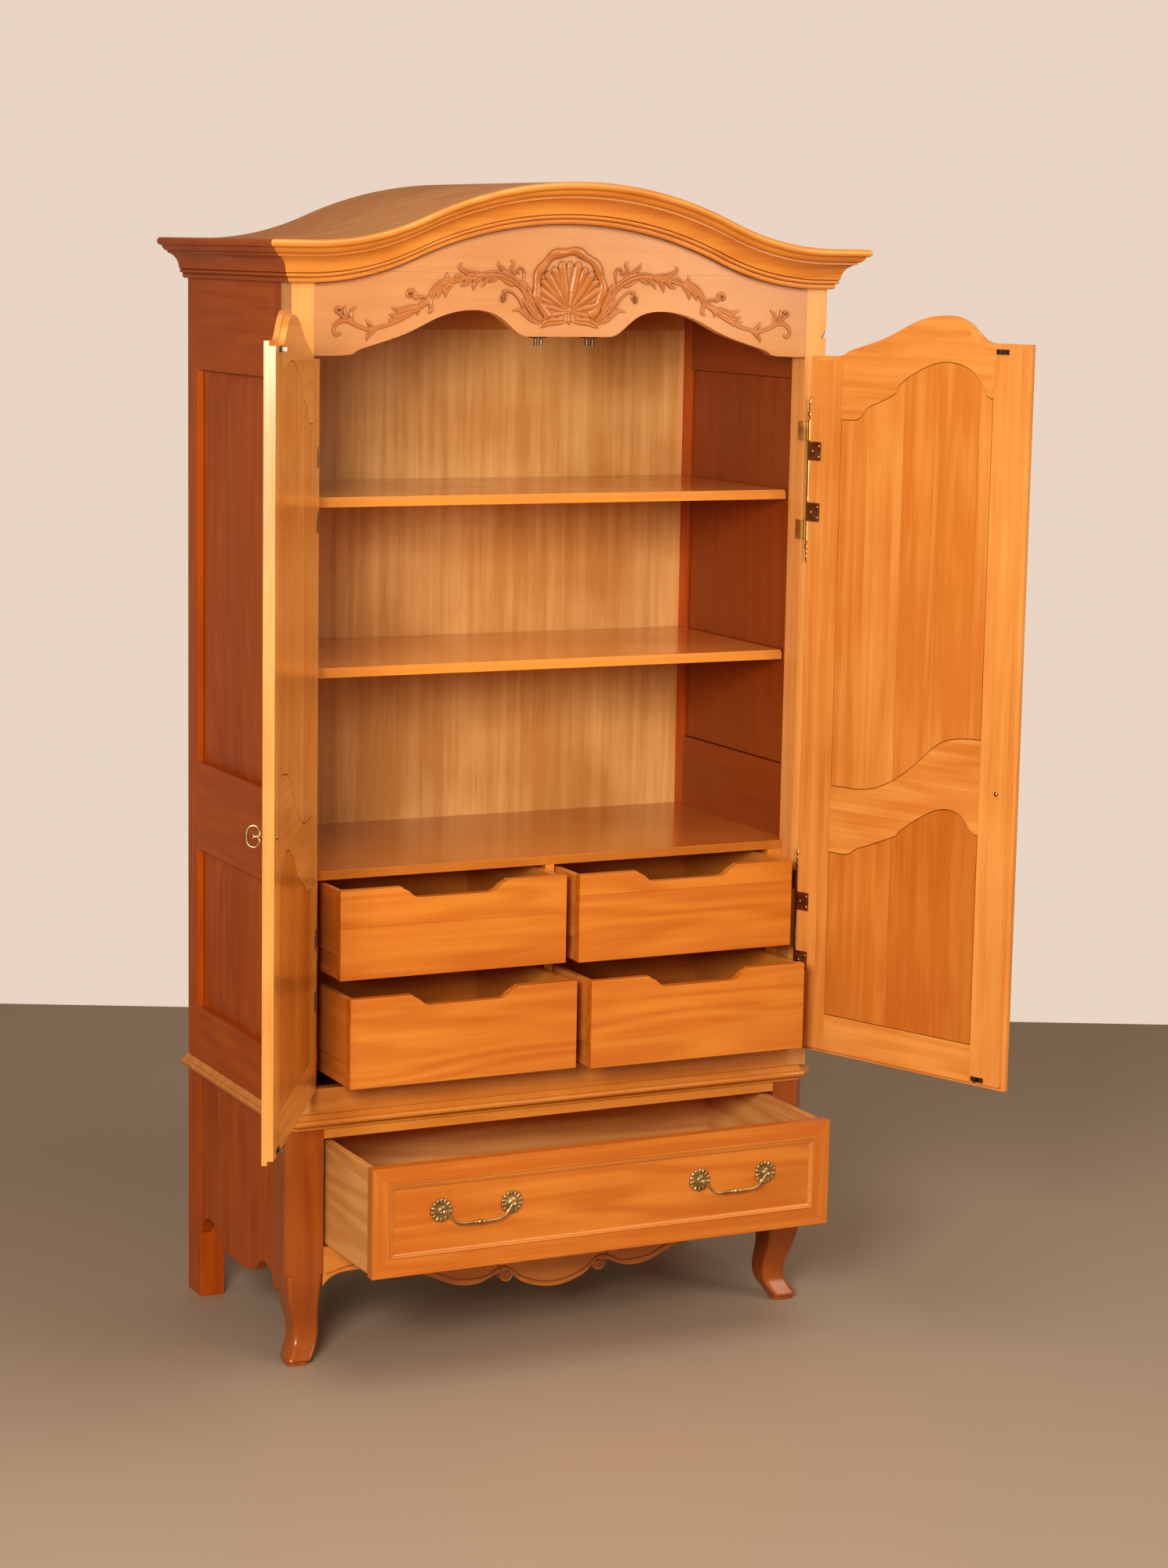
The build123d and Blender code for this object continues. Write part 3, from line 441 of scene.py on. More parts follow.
@dataclass(frozen=True)
class WoodFinish:
    """Stained and lacquered maple.

    The boards are `board` wide and drawn from `seed`. `swing` and `hinge` turn the grain with a door.
    `figure`, `streak`, `tone` and `cloud` are how much the rings, the streaks, the boards' own tones and
    the polish change the colour. `seam` is how far out a dark joint line stands.
    """

    name: str
    stain: Stain
    grain: Grain = Grain.UPRIGHT
    board: float = 0.4
    shift: float = 0.0
    seed: float = 0.0
    swing: float = 0.0
    hinge: float = 0.0
    figure: float = 0.22
    streak: float = 0.3
    tone: float = 0.25
    cloud: float = 0.25
    knots: float = 0.0
    joint: float = 0.35
    rough: float = 0.3
    coat: float = 0.35
    edge: float = 0.0018
    # How dark recesses turn: partly brown glaze, partly painted shade.
    glaze: float = 0.0
    reach: float = 0.009
    seam: float = 0.0
    # How much painted shade darkens the sides' faces inside the case.
    lining: float = 0.0
    gloss: float = 0.5
    dust: float = 0.0
    rings: float = 9.0
    band: Optional[Band] = None
    mitre: Optional[tuple[float, float, float]] = None

    def position(self, graph: Graph) -> Socket:
        """Finds the place on the piece, with a door turned back to where it closes.

        Args:
            graph: The tree being built.

        Returns:
            The position.
        """
        place = graph.node("TexCoord").outputs["Object"]
        if not self.swing:
            return place
        moves = ({1: (-self.hinge, -HINGE_Y, 0.0)}, {2: (0.0, 0.0, -math.radians(self.swing))})
        for move in moves:
            place = graph.node("Mapping", {0: place, **move}, vector_type="POINT").outputs[0]
        return place

    def grain_vector(self, graph: Graph, place: Socket) -> Socket:
        """Turns the place into the boards' own directions.

        Args:
            graph: The tree being built.
            place: The position on the piece.

        Returns:
            A vector with X across the boards and Z along the grain.
        """
        along = turned_vector(graph, place, self.grain)
        axes = graph.axes(place)
        inside: Optional[Socket] = None
        other = Grain.UPRIGHT
        if self.band:
            low = graph.math("GREATER_THAN", axes[self.band.axis], self.band.low)
            high = graph.math("LESS_THAN", axes[self.band.axis], self.band.high)
            inside = graph.times(low, high)
            other = self.band.grain
        if self.mitre:
            half, low_z, high_z = self.mitre
            end = graph.math("SUBTRACT", half, graph.math("ABSOLUTE", axes[0]))
            below = graph.math("SUBTRACT", axes[2], low_z)
            above = graph.math("SUBTRACT", high_z, axes[2])
            inside = graph.math("LESS_THAN", end, graph.math("MINIMUM", below, above))
        if inside is not None:
            turned = turned_vector(graph, place, other)
            along = graph.node("Mix", {0: inside, 4: along, 5: turned}, data_type="VECTOR").outputs[1]
        return graph.scaled(along, (1.0, 1.0, 1.0), (self.shift, 0.0, 0.0))

    def wood_colour(self, graph: Graph, vector: Socket, boards: Outputs, hands: Outputs) -> Socket:
        """Makes the stained wood's own colour.

        Args:
            graph: The tree being built.
            vector: The place in the boards' directions.
            boards: What the boards' group gives.
            hands: What the handling group gives.

        Returns:
            The colour.
        """
        pale, deep = self.stain.value
        dark = tuple(DARK_SHARE * c for c in deep)
        depth = graph.times(boards["Tone"], self.tone)
        depth = graph.plus(boards["Figure"], self.figure, depth)
        depth = graph.plus(boards["Streak"], self.streak, depth)
        depth = graph.plus(hands["Cloud"], self.cloud, depth)
        depth = graph.plus(boards["Pores"], PORE_DEPTH, depth, clamp=True)
        colour = graph.tint(graph.mix(depth, pale, deep), boards["Joint"], self.joint, dark)
        if self.knots:
            knots = graph.group(Kit.KNOTS, vector=vector, spacing=self.knots)
            colour = graph.tint(colour, knots["Halo"], 0.45, deep)
            colour = graph.tint(colour, knots["Mask"], 0.85, dark)
        return colour

    def aged_colour(self, graph: Graph, place: Socket, colour: Socket, worn: Outputs) -> Socket:
        """Adds painted shade inside the case and in recesses, the recess glaze, the seam and rubbed edges.

        Args:
            graph: The tree being built.
            place: The position on the piece.
            colour: The wood's colour.
            worn: What the worn edges' group gives.

        Returns:
            The colour.
        """
        # Painted shade: the sides' faces inside the case are darkened.
        if self.lining:
            inner = graph.math("LESS_THAN", graph.math("ABSOLUTE", graph.axes(place)[0]), INSIDE_SHADE_X)
            colour = graph.tint(colour, inner, self.lining, INSIDE_SHADE_BROWN)
        # Glaze and painted shade: brown where ambient occlusion finds a recess.
        if self.glaze:
            grime = graph.group(Kit.GRIME, reach=self.reach)["Mask"]
            colour = graph.tint(colour, grime, self.glaze, GLAZE_AND_SHADE_BROWN)
        if self.seam:
            sideways = graph.math("ABSOLUTE", graph.axes(place)[0])
            line = graph.between(sideways, self.seam - 0.5 * MM, self.seam + 0.4 * MM)
            colour = graph.tint(colour, line, 0.85, SEAM_BROWN)
        rubbed = tuple(min(1.0, 1.12 * c + 0.03) for c in self.stain.value[0])
        return graph.tint(colour, worn["Mask"], 0.3, rubbed)

    def build(self) -> bpy.types.Material:
        """Makes the Blender material.

        Returns:
            The material.
        """
        material, graph = new_material(self.name)
        place = self.position(graph)
        vector = self.grain_vector(graph, place)
        boards = graph.group(Kit.BOARDS, vector=vector, width=self.board, seed=self.seed, figure=self.rings)
        hands = graph.group(Kit.HANDLING, vector=place, size=0.3)
        worn = graph.group(Kit.WORN_EDGE, vector=place, radius=self.edge)
        colour = self.wood_colour(graph, vector, boards, hands)
        colour = self.aged_colour(graph, place, colour, worn)
        rough = graph.plus(hands["Smear"], SMEAR, self.rough - SMEAR / 2)
        if self.dust:
            upward = graph.axes(graph.node("NewGeometry").outputs["Normal"])[2]
            settled = graph.times(graph.between(upward, 0.5, 0.95), self.dust)
            patchy = graph.math("MULTIPLY", settled, graph.plus(hands["Smear"], 0.9, 0.35), clamp=True)
            colour = graph.mix(patchy, colour, DUST_GREY)
            rough = graph.plus(patchy, 0.45, rough, clamp=True)
        height = graph.plus(boards["Pores"], 0.35, graph.times(boards["Joint"], -0.8))
        bump = {"Strength": 0.16, "Distance": 0.0006, "Height": height, "Normal": worn["Normal"]}
        graph.surface(
            {
                "Base Color": colour,
                "Roughness": rough,
                "Normal": graph.node("Bump", bump).outputs[0],
                "Coat Weight": self.coat,
                "Coat Roughness": 0.16,
                "IOR": 1.5,
                "Specular IOR Level": self.gloss,
            }
        )
        return material


@dataclass(frozen=True)
class MetalFinish:
    """Antiqued brass or dull plated steel."""

    name: str
    bright: Colour
    dull: Colour
    rough: float = 0.34
    tarnish: float = 0.9

    def build(self) -> bpy.types.Material:
        """Makes the Blender material.

        Returns:
            The material.
        """
        material, graph = new_material(self.name)
        place = graph.node("TexCoord").outputs["Object"]
        hands = graph.group(Kit.HANDLING, vector=place, size=0.02)
        worn = graph.group(Kit.WORN_EDGE, vector=place, radius=0.0006)
        grime = graph.group(Kit.GRIME, reach=0.004)["Mask"]
        colour = graph.tint(self.bright, hands["Cloud"], 0.6, self.dull)
        colour = graph.tint(colour, grime, self.tarnish, tuple(0.2 * c for c in self.dull))
        colour = graph.tint(colour, worn["Mask"], 0.5, tuple(1.25 * c for c in self.bright))
        rough = graph.plus(hands["Smear"], 0.3, self.rough - 0.12)
        graph.surface({"Base Color": colour, "Metallic": 1.0, "Roughness": rough, "Normal": worn["Normal"]})
        return material


Finishes = dict[str, WoodFinish]


# ------------------------------------------------------------- modelling tools
def only(piece: Optional[bpy.types.Object] = None) -> None:
    """Leaves one piece selected and active, or none.

    Args:
        piece: The piece to select.
    """
    if bpy.context.object and bpy.context.object.mode != "OBJECT":
        bpy.ops.object.mode_set(mode="OBJECT")
    bpy.ops.object.select_all(action="DESELECT")
    if piece:
        piece.select_set(True)
        bpy.context.view_layer.objects.active = piece


def settle(piece: bpy.types.Object) -> None:
    """Puts a piece's place into its mesh, so that its object is at the origin."""
    only(piece)
    bpy.ops.object.transform_apply(location=True, rotation=True, scale=True)


def open_mesh(piece: bpy.types.Object) -> None:
    """Opens a piece for editing, with all of it selected.

    Args:
        piece: The piece.
    """
    only(piece)
    bpy.ops.object.mode_set(mode="EDIT")
    bpy.ops.mesh.select_all(action="SELECT")


def close_mesh() -> None:
    """Turns the edited piece's normals outward and ends the editing."""
    bpy.ops.mesh.select_all(action="SELECT")
    bpy.ops.mesh.normals_make_consistent(inside=False)
    bpy.ops.object.mode_set(mode="OBJECT")


def apply_modifier(piece: bpy.types.Object, kind: str, **settings: object) -> None:
    """Adds a modifier, sets it and applies it.

    Args:
        piece: The piece it works on.
        kind: The modifier's type.
        **settings: Its settings.
    """
    only(piece)
    made = piece.modifiers.new(kind.lower(), kind)
    for name, value in settings.items():
        setattr(made, name, value)
    bpy.ops.object.modifier_apply(modifier=made.name)


def join(name: str, pieces: Sequence[bpy.types.Object]) -> bpy.types.Object:
    """Makes several meshes one piece.

    Args:
        name: The new piece's name.
        pieces: The meshes.

    Returns:
        The joined piece.
    """
    only(pieces[0])
    for piece in pieces:
        piece.select_set(True)
    if len(pieces) > 1:
        bpy.ops.object.join()
    made = bpy.context.object
    made.name = made.data.name = name
    return made


def copy_of(piece: bpy.types.Object, where: Matrix) -> bpy.types.Object:
    """Copies a piece with its own mesh and puts the copy in a new place.

    Args:
        piece: The piece, with its place in its mesh.
        where: The move from the piece to the copy.

    Returns:
        The copy, with its place in its mesh.
    """
    only(piece)
    bpy.ops.object.duplicate(linked=False)
    made = bpy.context.object
    made.matrix_world = where
    settle(made)
    return made


def draw_strokes(name: str, strokes: Iterable[Stroke], depth: float, bends: int = 6) -> bpy.types.Object:
    """Draws rounded strokes, in millimetres, in the XZ plane.

    Args:
        name: The piece's name.
        strokes: Each stroke's points: x, z and half width.
        depth: How deep a stroke is, as a share of its width.
        bends: How finely each stroke's curve is divided.

    Returns:
        A mesh of the strokes, centred on the plane Y = 0.
    """
    only()
    bpy.ops.curve.primitive_bezier_curve_add(location=(0.0, 0.0, 0.0))
    piece = bpy.context.object
    data = piece.data
    data.splines.clear()
    data.dimensions = "3D"
    data.bevel_depth = 1.0
    data.bevel_resolution = 3
    data.resolution_u = bends
    data.use_fill_caps = True
    for stroke in strokes:
        spline = data.splines.new("BEZIER")
        spline.bezier_points.add(len(stroke) - 1)
        for point, (x, z, half_width) in zip(spline.bezier_points, stroke):
            point.co = (x * MM, 0.0, z * MM)
            point.radius = max(half_width, 0.15) * MM
            point.handle_left_type = point.handle_right_type = "AUTO"
    bpy.ops.object.convert(target="MESH")
    piece = bpy.context.object
    piece.name = piece.data.name = name
    piece.scale = (1.0, depth, 1.0)
    settle(piece)
    return piece


def fuse(piece: bpy.types.Object, voxel: float, smooth: int) -> None:
    """Runs a piece's crossing shapes together into one carved or cast surface.

    Args:
        piece: The piece.
        voxel: The smallest detail kept, in metres.
        smooth: How many times the surface is eased.
    """
    apply_modifier(piece, "REMESH", mode="VOXEL", voxel_size=voxel, adaptivity=0.0)
    apply_modifier(piece, "SMOOTH", factor=0.5, iterations=smooth)
    bpy.ops.object.shade_smooth()


def flatten_back(piece: bpy.types.Object, depth: float) -> None:
    """Cuts off what lies behind a depth and closes the cut.

    Args:
        piece: The piece.
        depth: Where its back is, along Y.
    """
    open_mesh(piece)
    bpy.ops.mesh.bisect(plane_co=(0.0, depth, 0.0), plane_no=(0.0, 1.0, 0.0), clear_outer=True, use_fill=True)
    close_mesh()


def turn_profile(name: str, profile: Sequence[Point], sides: int = 24) -> bpy.types.Object:
    """Turns a profile on the Z axis, ring by ring, as on a lathe.

    Args:
        name: The piece's name.
        profile: Radius and height of each ring in millimetres, from the bottom.
        sides: How many sides the turning has.

    Returns:
        The turned piece.
    """
    only()
    radius, height = profile[0]
    bpy.ops.mesh.primitive_circle_add(
        vertices=sides, radius=radius * MM, fill_type="NGON", location=(0.0, 0.0, height * MM)
    )
    piece = bpy.context.object
    piece.name = piece.data.name = name
    settle(piece)
    open_mesh(piece)
    for wider, higher in profile[1:]:
        bpy.ops.mesh.extrude_region_move(TRANSFORM_OT_translate={"value": (0.0, 0.0, (higher - height) * MM)})
        share = wider / radius
        bpy.ops.transform.resize(value=(share, share, 1.0), center_override=(0.0, 0.0, higher * MM))
        radius, height = wider, higher
    close_mesh()
    bpy.ops.object.shade_smooth_by_angle(angle=math.radians(50))
    return piece


def spiral(centre: Point, radius: float, turns: float, start: float, width: float) -> Stroke:
    """A volute that winds in to its eye.

    Args:
        centre: The eye, x and z in millimetres.
        radius: The outside radius.
        turns: How many turns, negative to wind the other way.
        start: Where it starts, in degrees.
        width: The half width at the outside.

    Returns:
        The stroke.
    """
    steps = 12
    eye_radius, eye_width = 0.22, 0.65
    points = []
    for step in range(steps + 1):
        share = step / steps
        angle = math.radians(start + 360 * turns * share)
        reach = radius * (1 - (1 - eye_radius) * share)
        half_width = width * (1 - (1 - eye_width) * share)
        points.append((centre[0] + reach * math.cos(angle), centre[1] + reach * math.sin(angle), half_width))
    return tuple(points)


def veined(strokes: Iterable[Stroke], fuller: float, widest: float = 2.9) -> list[Stroke]:
    """Makes strokes fuller, and parts each leaf-wide one in two, with a vein between its halves.

    Args:
        strokes: The strokes.
        fuller: How much wider they become.
        widest: Above this half width a stroke is a leaf.

    Returns:
        The strokes, with two in place of each leaf.
    """
    made: list[Stroke] = []
    half_share = 0.56 * fuller
    for stroke in strokes:
        if max(w for _, _, w in stroke) < widest or len(stroke) < 3:
            made.append(tuple((x, z, fuller * w) for x, z, w in stroke))
            continue
        for side in (-1, 1):
            half = []
            for index, (x, z, w) in enumerate(stroke):
                before, after = stroke[max(index - 1, 0)], stroke[min(index + 1, len(stroke) - 1)]
                along_x, along_z = after[0] - before[0], after[1] - before[1]
                shift = side * half_share * w / math.hypot(along_x, along_z)
                half.append((x - shift * along_z, z + shift * along_x, half_share * w))
            made.append(tuple(half))
    return made


def mirrored(strokes: Iterable[Stroke]) -> list[Stroke]:
    """The same strokes on the other side of the middle."""
    return [tuple((-x, z, w) for x, z, w in stroke) for stroke in strokes]


def dress(piece: bpy.types.Object, body: str, material: bpy.types.Material) -> None:
    """Gives a new piece its finish and the body it moves with.

    Args:
        piece: The piece.
        body: The body's name.
        material: The finish.
    """
    piece.data.materials.clear()
    piece.data.materials.append(material)
    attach(piece, body)
    LOG.info("%s rides %s: %d faces", piece.name, body, len(piece.data.polygons))


def door_swing(side: int) -> Matrix:
    """How a closed door's place turns to where the door stands open.

    Args:
        side: -1 for the left door, 1 for the right.

    Returns:
        The turn about the door's hinges.
    """
    axis = Matrix.Translation((side * HINGE_X, HINGE_Y, 0.0))
    return axis @ Matrix.Rotation(math.radians(OPEN_ANGLE[side]), 4, "Z") @ axis.inverted()


# -------------------------------------------------------------------- carving
@dataclass
class Carving:
    """The frieze's shell, its garlands, and the apron's scrolled edge."""

    wood: bpy.types.Material
    hub_z: float = 1929.0
    ribs: int = 19
    fan: float = 100.0
    long_rib: float = 91.0
    short_rib: float = 52.0
    rim_z: float = 1973.0
    rim_radius: float = 65.0
    rim_width: float = 8.2
    rim_steps: int = 44
    waves: int = 9
    voxel: float = 0.0008
    relief: float = 0.62
    leaf_relief: float = 1.1

    def rib(self, index: int) -> Stroke:
        """Lays out one of the shell's ribs; every other one starts part of the way up.

        Args:
            index: Its number from the right-hand side.

        Returns:
            The stroke.
        """
        lean = self.fan * (1 - 2 * index / (self.ribs - 1))
        angle = math.radians(90 + lean)
        length = self.long_rib - (self.long_rib - self.short_rib) * (abs(lean) / self.fan) ** 1.6
        if index % 2:
            path = [(0.4, 0.02), (0.7, 0.058), (0.9, 0.078), (1.0, 0.06)]
        else:
            path = [(0.1, 0.024), (0.42, 0.078), (0.7, 0.084), (0.92, 0.094), (1.02, 0.066)]
        return tuple(
            (length * part * math.cos(angle), self.hub_z + length * part * math.sin(angle), length * half)
            for part, half in path
        )

    def shell_strokes(self) -> list[Stroke]:
        """Lays out the shell's ribs, its ruffled border and the scrolls and leaves under it.

        Returns:
            The strokes.
        """
        strokes = [self.rib(index) for index in range(self.ribs)]
        ruffle = []
        for step in range(self.rim_steps + 1):
            turn = math.radians(-52 + 284 * step / self.rim_steps)
            reach = self.rim_radius + 2.0 * abs(math.cos(turn)) + 1.5 * math.cos(self.waves * turn)
            half_width = self.rim_width + 1.2 * math.cos(self.waves * turn + 1.2)
            ruffle.append((reach * math.cos(turn), self.rim_z + reach * math.sin(turn), half_width))
        strokes.append(tuple(ruffle))
        half = [
            spiral((-15.5, 1925.0), 8.5, 1.3, 80.0, 2.7),
            ((-15.8, 1925, 2.6), (-15.2, 1925, 2.6)),
            ((-12, 1916.5, 2.6), (-24, 1915, 4.4), (-42, 1914, 4.6), (-54, 1907, 3.6), (-58, 1900, 2.0)),
            ((-5, 1912, 1.6), (-22, 1909, 3.0), (-40, 1907, 3.0), (-53, 1902, 2.0)),
        ]
        strokes += half + mirrored(half)
        strokes.append(((0.0, 1931.0, 4.2), (0.0, 1922.0, 3.6), (0.0, 1913.0, 4.0), (0.0, 1907.0, 2.6)))
        return strokes

    def garland_strokes(self) -> list[Stroke]:
        """Lays out the left garland: stems, acanthus lobes, curls and buds.

        Returns:
            The strokes.
        """
        return [
            ((-50, 1914, 1.5), (-66, 1928, 3.4), (-80, 1948, 3.8), (-92, 1966, 3.4), (-100, 1975, 2.0)),
            ((-62, 1934, 1.0), (-72, 1950, 3.0), (-80, 1966, 3.2), (-88, 1983, 1.2)),
            ((-56, 1912, 1.5), (-70, 1924, 3.8), (-84, 1940, 3.8), (-95, 1954, 1.2)),
            ((-60, 1908, 1.5), (-76, 1916, 3.6), (-92, 1928, 3.4), (-100, 1932, 2.4), (-115, 1931, 1.2)),
            ((-84, 1922, 1.2), (-94, 1938, 1.8), (-108, 1958, 2.0), (-122, 1966, 2.0), (-134, 1966, 1.8)),
            spiral((-134.0, 1954.0), 11.5, -0.55, 92.0, 1.8),
            ((-134.5, 1953, 7.0), (-133.5, 1953, 7.0)),
            (
                (-84, 1956, 2.0), (-98, 1974, 4.0), (-114, 1987, 4.6), (-132, 1994, 4.6), (-156, 1997, 3.8),
                (-183, 1992, 2.4),
            ),
            ((-98, 1984, 1.5), (-114, 1978, 3.0), (-126, 1983, 3.2), (-140, 1988, 1.2)),
            (
                (-96, 1978, 1.6), (-93, 1990, 1.9), (-92, 2001, 2.1), (-99, 2008, 2.1), (-106, 2003, 1.9),
                (-102, 1997, 1.8),
            ),
            ((-108, 1995, 1.5), (-117, 2006, 3.0), (-113, 2017, 2.4), (-120, 2022, 0.9)),
            ((-120, 1999, 1.5), (-132, 2004, 3.2), (-142, 2012, 2.6), (-145, 2020, 0.9)),
            ((-128, 1998, 1.5), (-140, 1994, 3.4), (-152, 1986, 3.0), (-162, 1980, 1.0)),
            ((-142, 1999, 1.5), (-156, 1994, 3.6), (-170, 1982, 3.2), (-176, 1972, 1.0)),
            ((-158, 1999, 1.5), (-176, 1992, 3.8), (-190, 1978, 3.4), (-192, 1966, 1.2)),
            ((-172, 1996, 2.0), (-192, 1996, 3.8), (-208, 2000, 3.4), (-220, 2010, 2.4), (-214, 2015, 1.0)),
            ((-178, 1994, 1.5), (-196, 1988, 3.6), (-208, 1978, 3.2), (-218, 1974, 1.2)),
            ((-184, 1992, 2.0), (-206, 1989, 3.0), (-226, 1983, 3.0), (-240, 1981, 2.6)),
            ((-210, 1990, 1.2), (-222, 1992, 2.8), (-230, 1986, 2.0), (-236, 1984, 1.0)),
            ((-236, 1984, 2.4), (-254, 1980, 3.8), (-270, 1966, 3.8), (-280, 1950, 2.6)),
            ((-232, 1982, 1.5), (-246, 1976, 3.6), (-257, 1964, 3.4), (-262, 1952, 1.4)),
            ((-230, 1980, 1.5), (-238, 1974, 3.4), (-246, 1963, 3.2), (-246, 1953, 1.2)),
            ((-236, 1984, 1.5), (-244, 1990, 3.0), (-243, 1999, 0.9)),
            ((-256, 1976, 1.5), (-268, 1962, 3.6), (-276, 1946, 3.4), (-274, 1930, 3.2), (-281, 1925, 1.2)),
            ((-276, 1950, 1.5), (-290, 1944, 3.4), (-299, 1933, 3.2), (-300, 1922, 1.6)),
            ((-280, 1952, 1.5), (-296, 1954, 2.4), (-306, 1950, 1.4)),
            spiral((-315.0, 1958.0), 10.5, 1.0, -40.0, 3.0),
            ((-315.5, 1958, 4.6), (-314.5, 1958, 4.6)),
            (
                (-278, 1946, 2.2), (-296, 1936, 3.4), (-319, 1922, 3.2), (-349, 1907, 2.6),
                (-379, 1899, 2.4), (-400, 1896, 2.6),
            ),
            ((-296, 1938, 1.5), (-314, 1936, 3.4), (-336, 1930, 3.2), (-352, 1935, 1.2)),
            ((-306, 1931, 1.5), (-326, 1926, 3.4), (-344, 1920, 3.0), (-356, 1922, 1.2)),
            ((-316, 1925, 1.5), (-334, 1917, 3.2), (-350, 1912, 2.4), (-358, 1914, 1.0)),
            ((-376, 1899, 1.5), (-388, 1892, 3.4), (-396, 1884, 2.8), (-398, 1875, 0.9)),
            ((-384, 1899, 1.5), (-394, 1906, 2.6), (-398, 1914, 0.9)),
            (
                (-398, 1896, 2.4), (-418, 1903, 2.6), (-436, 1911, 3.0), (-452, 1908, 3.0),
                (-461, 1896, 2.6), (-455, 1886, 2.4), (-447, 1890, 1.8),
            ),
            ((-424, 1906, 1.5), (-428, 1918, 3.0), (-426, 1930, 2.6), (-416, 1937, 0.9)),
            ((-430, 1908, 1.5), (-438, 1920, 2.8), (-441, 1932, 2.0), (-438, 1938, 0.8)),
            ((-436, 1911, 1.5), (-446, 1920, 2.6), (-452, 1926, 2.2)),
            spiral((-453.0, 1928.0), 6.5, 0.9, 20.0, 2.6),
        ]

    def apron_strokes(self) -> list[Stroke]:
        """Lays out the bead along one side of the apron's lower edge, with its small volute.

        Returns:
            The strokes.
        """
        return [
            ((0, 101, 1.5), (-24, 104, 1.7), (-48, 111, 1.7), (-70, 121, 1.7), (-84, 134, 1.6)),
            spiral((-97.0, 126.0), 10.5, 1.35, 150.0, 2.3),
            (
                (-86, 134, 1.4), (-98, 141, 1.9), (-116, 139, 1.8), (-134, 130, 1.6), (-158, 125, 1.5),
                (-205, 129, 1.5),
            ),
            ((-205, 129, 1.5), (-264, 154, 1.6), (-338, 173, 1.6), (-408, 182, 1.6), (-464, 171, 1.2)),
            ((-108, 136, 1.0), (-118, 148, 2.4), (-134, 150, 1.8), (-146, 144, 0.7)),
        ]

    def build(self) -> None:
        """Makes the carved pieces and sets them on the case."""
        garland = veined(self.garland_strokes(), 1.15)
        pieces = [
            draw_strokes("carved_shell", self.shell_strokes(), self.relief),
            draw_strokes("carved_garland_left", garland, self.leaf_relief),
            draw_strokes("carved_garland_right", mirrored(garland), self.leaf_relief),
        ]
        for piece in pieces:
            fuse(piece, self.voxel, 1)
            flatten_back(piece, 0.5 * MM)
            piece.location = (0.0, FRONT_Y, 0.0)
            settle(piece)
            dress(piece, "case", self.wood)
        for piece in pieces:
            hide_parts("frieze_carving")
        scrolls = self.apron_strokes()
        bead = draw_strokes("apron_scrolls", scrolls + mirrored(scrolls), 0.8)
        bpy.ops.object.shade_smooth()
        bead.location = (0.0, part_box("front_apron")[0].y, 0.0)
        settle(bead)
        dress(bead, "case", self.wood)


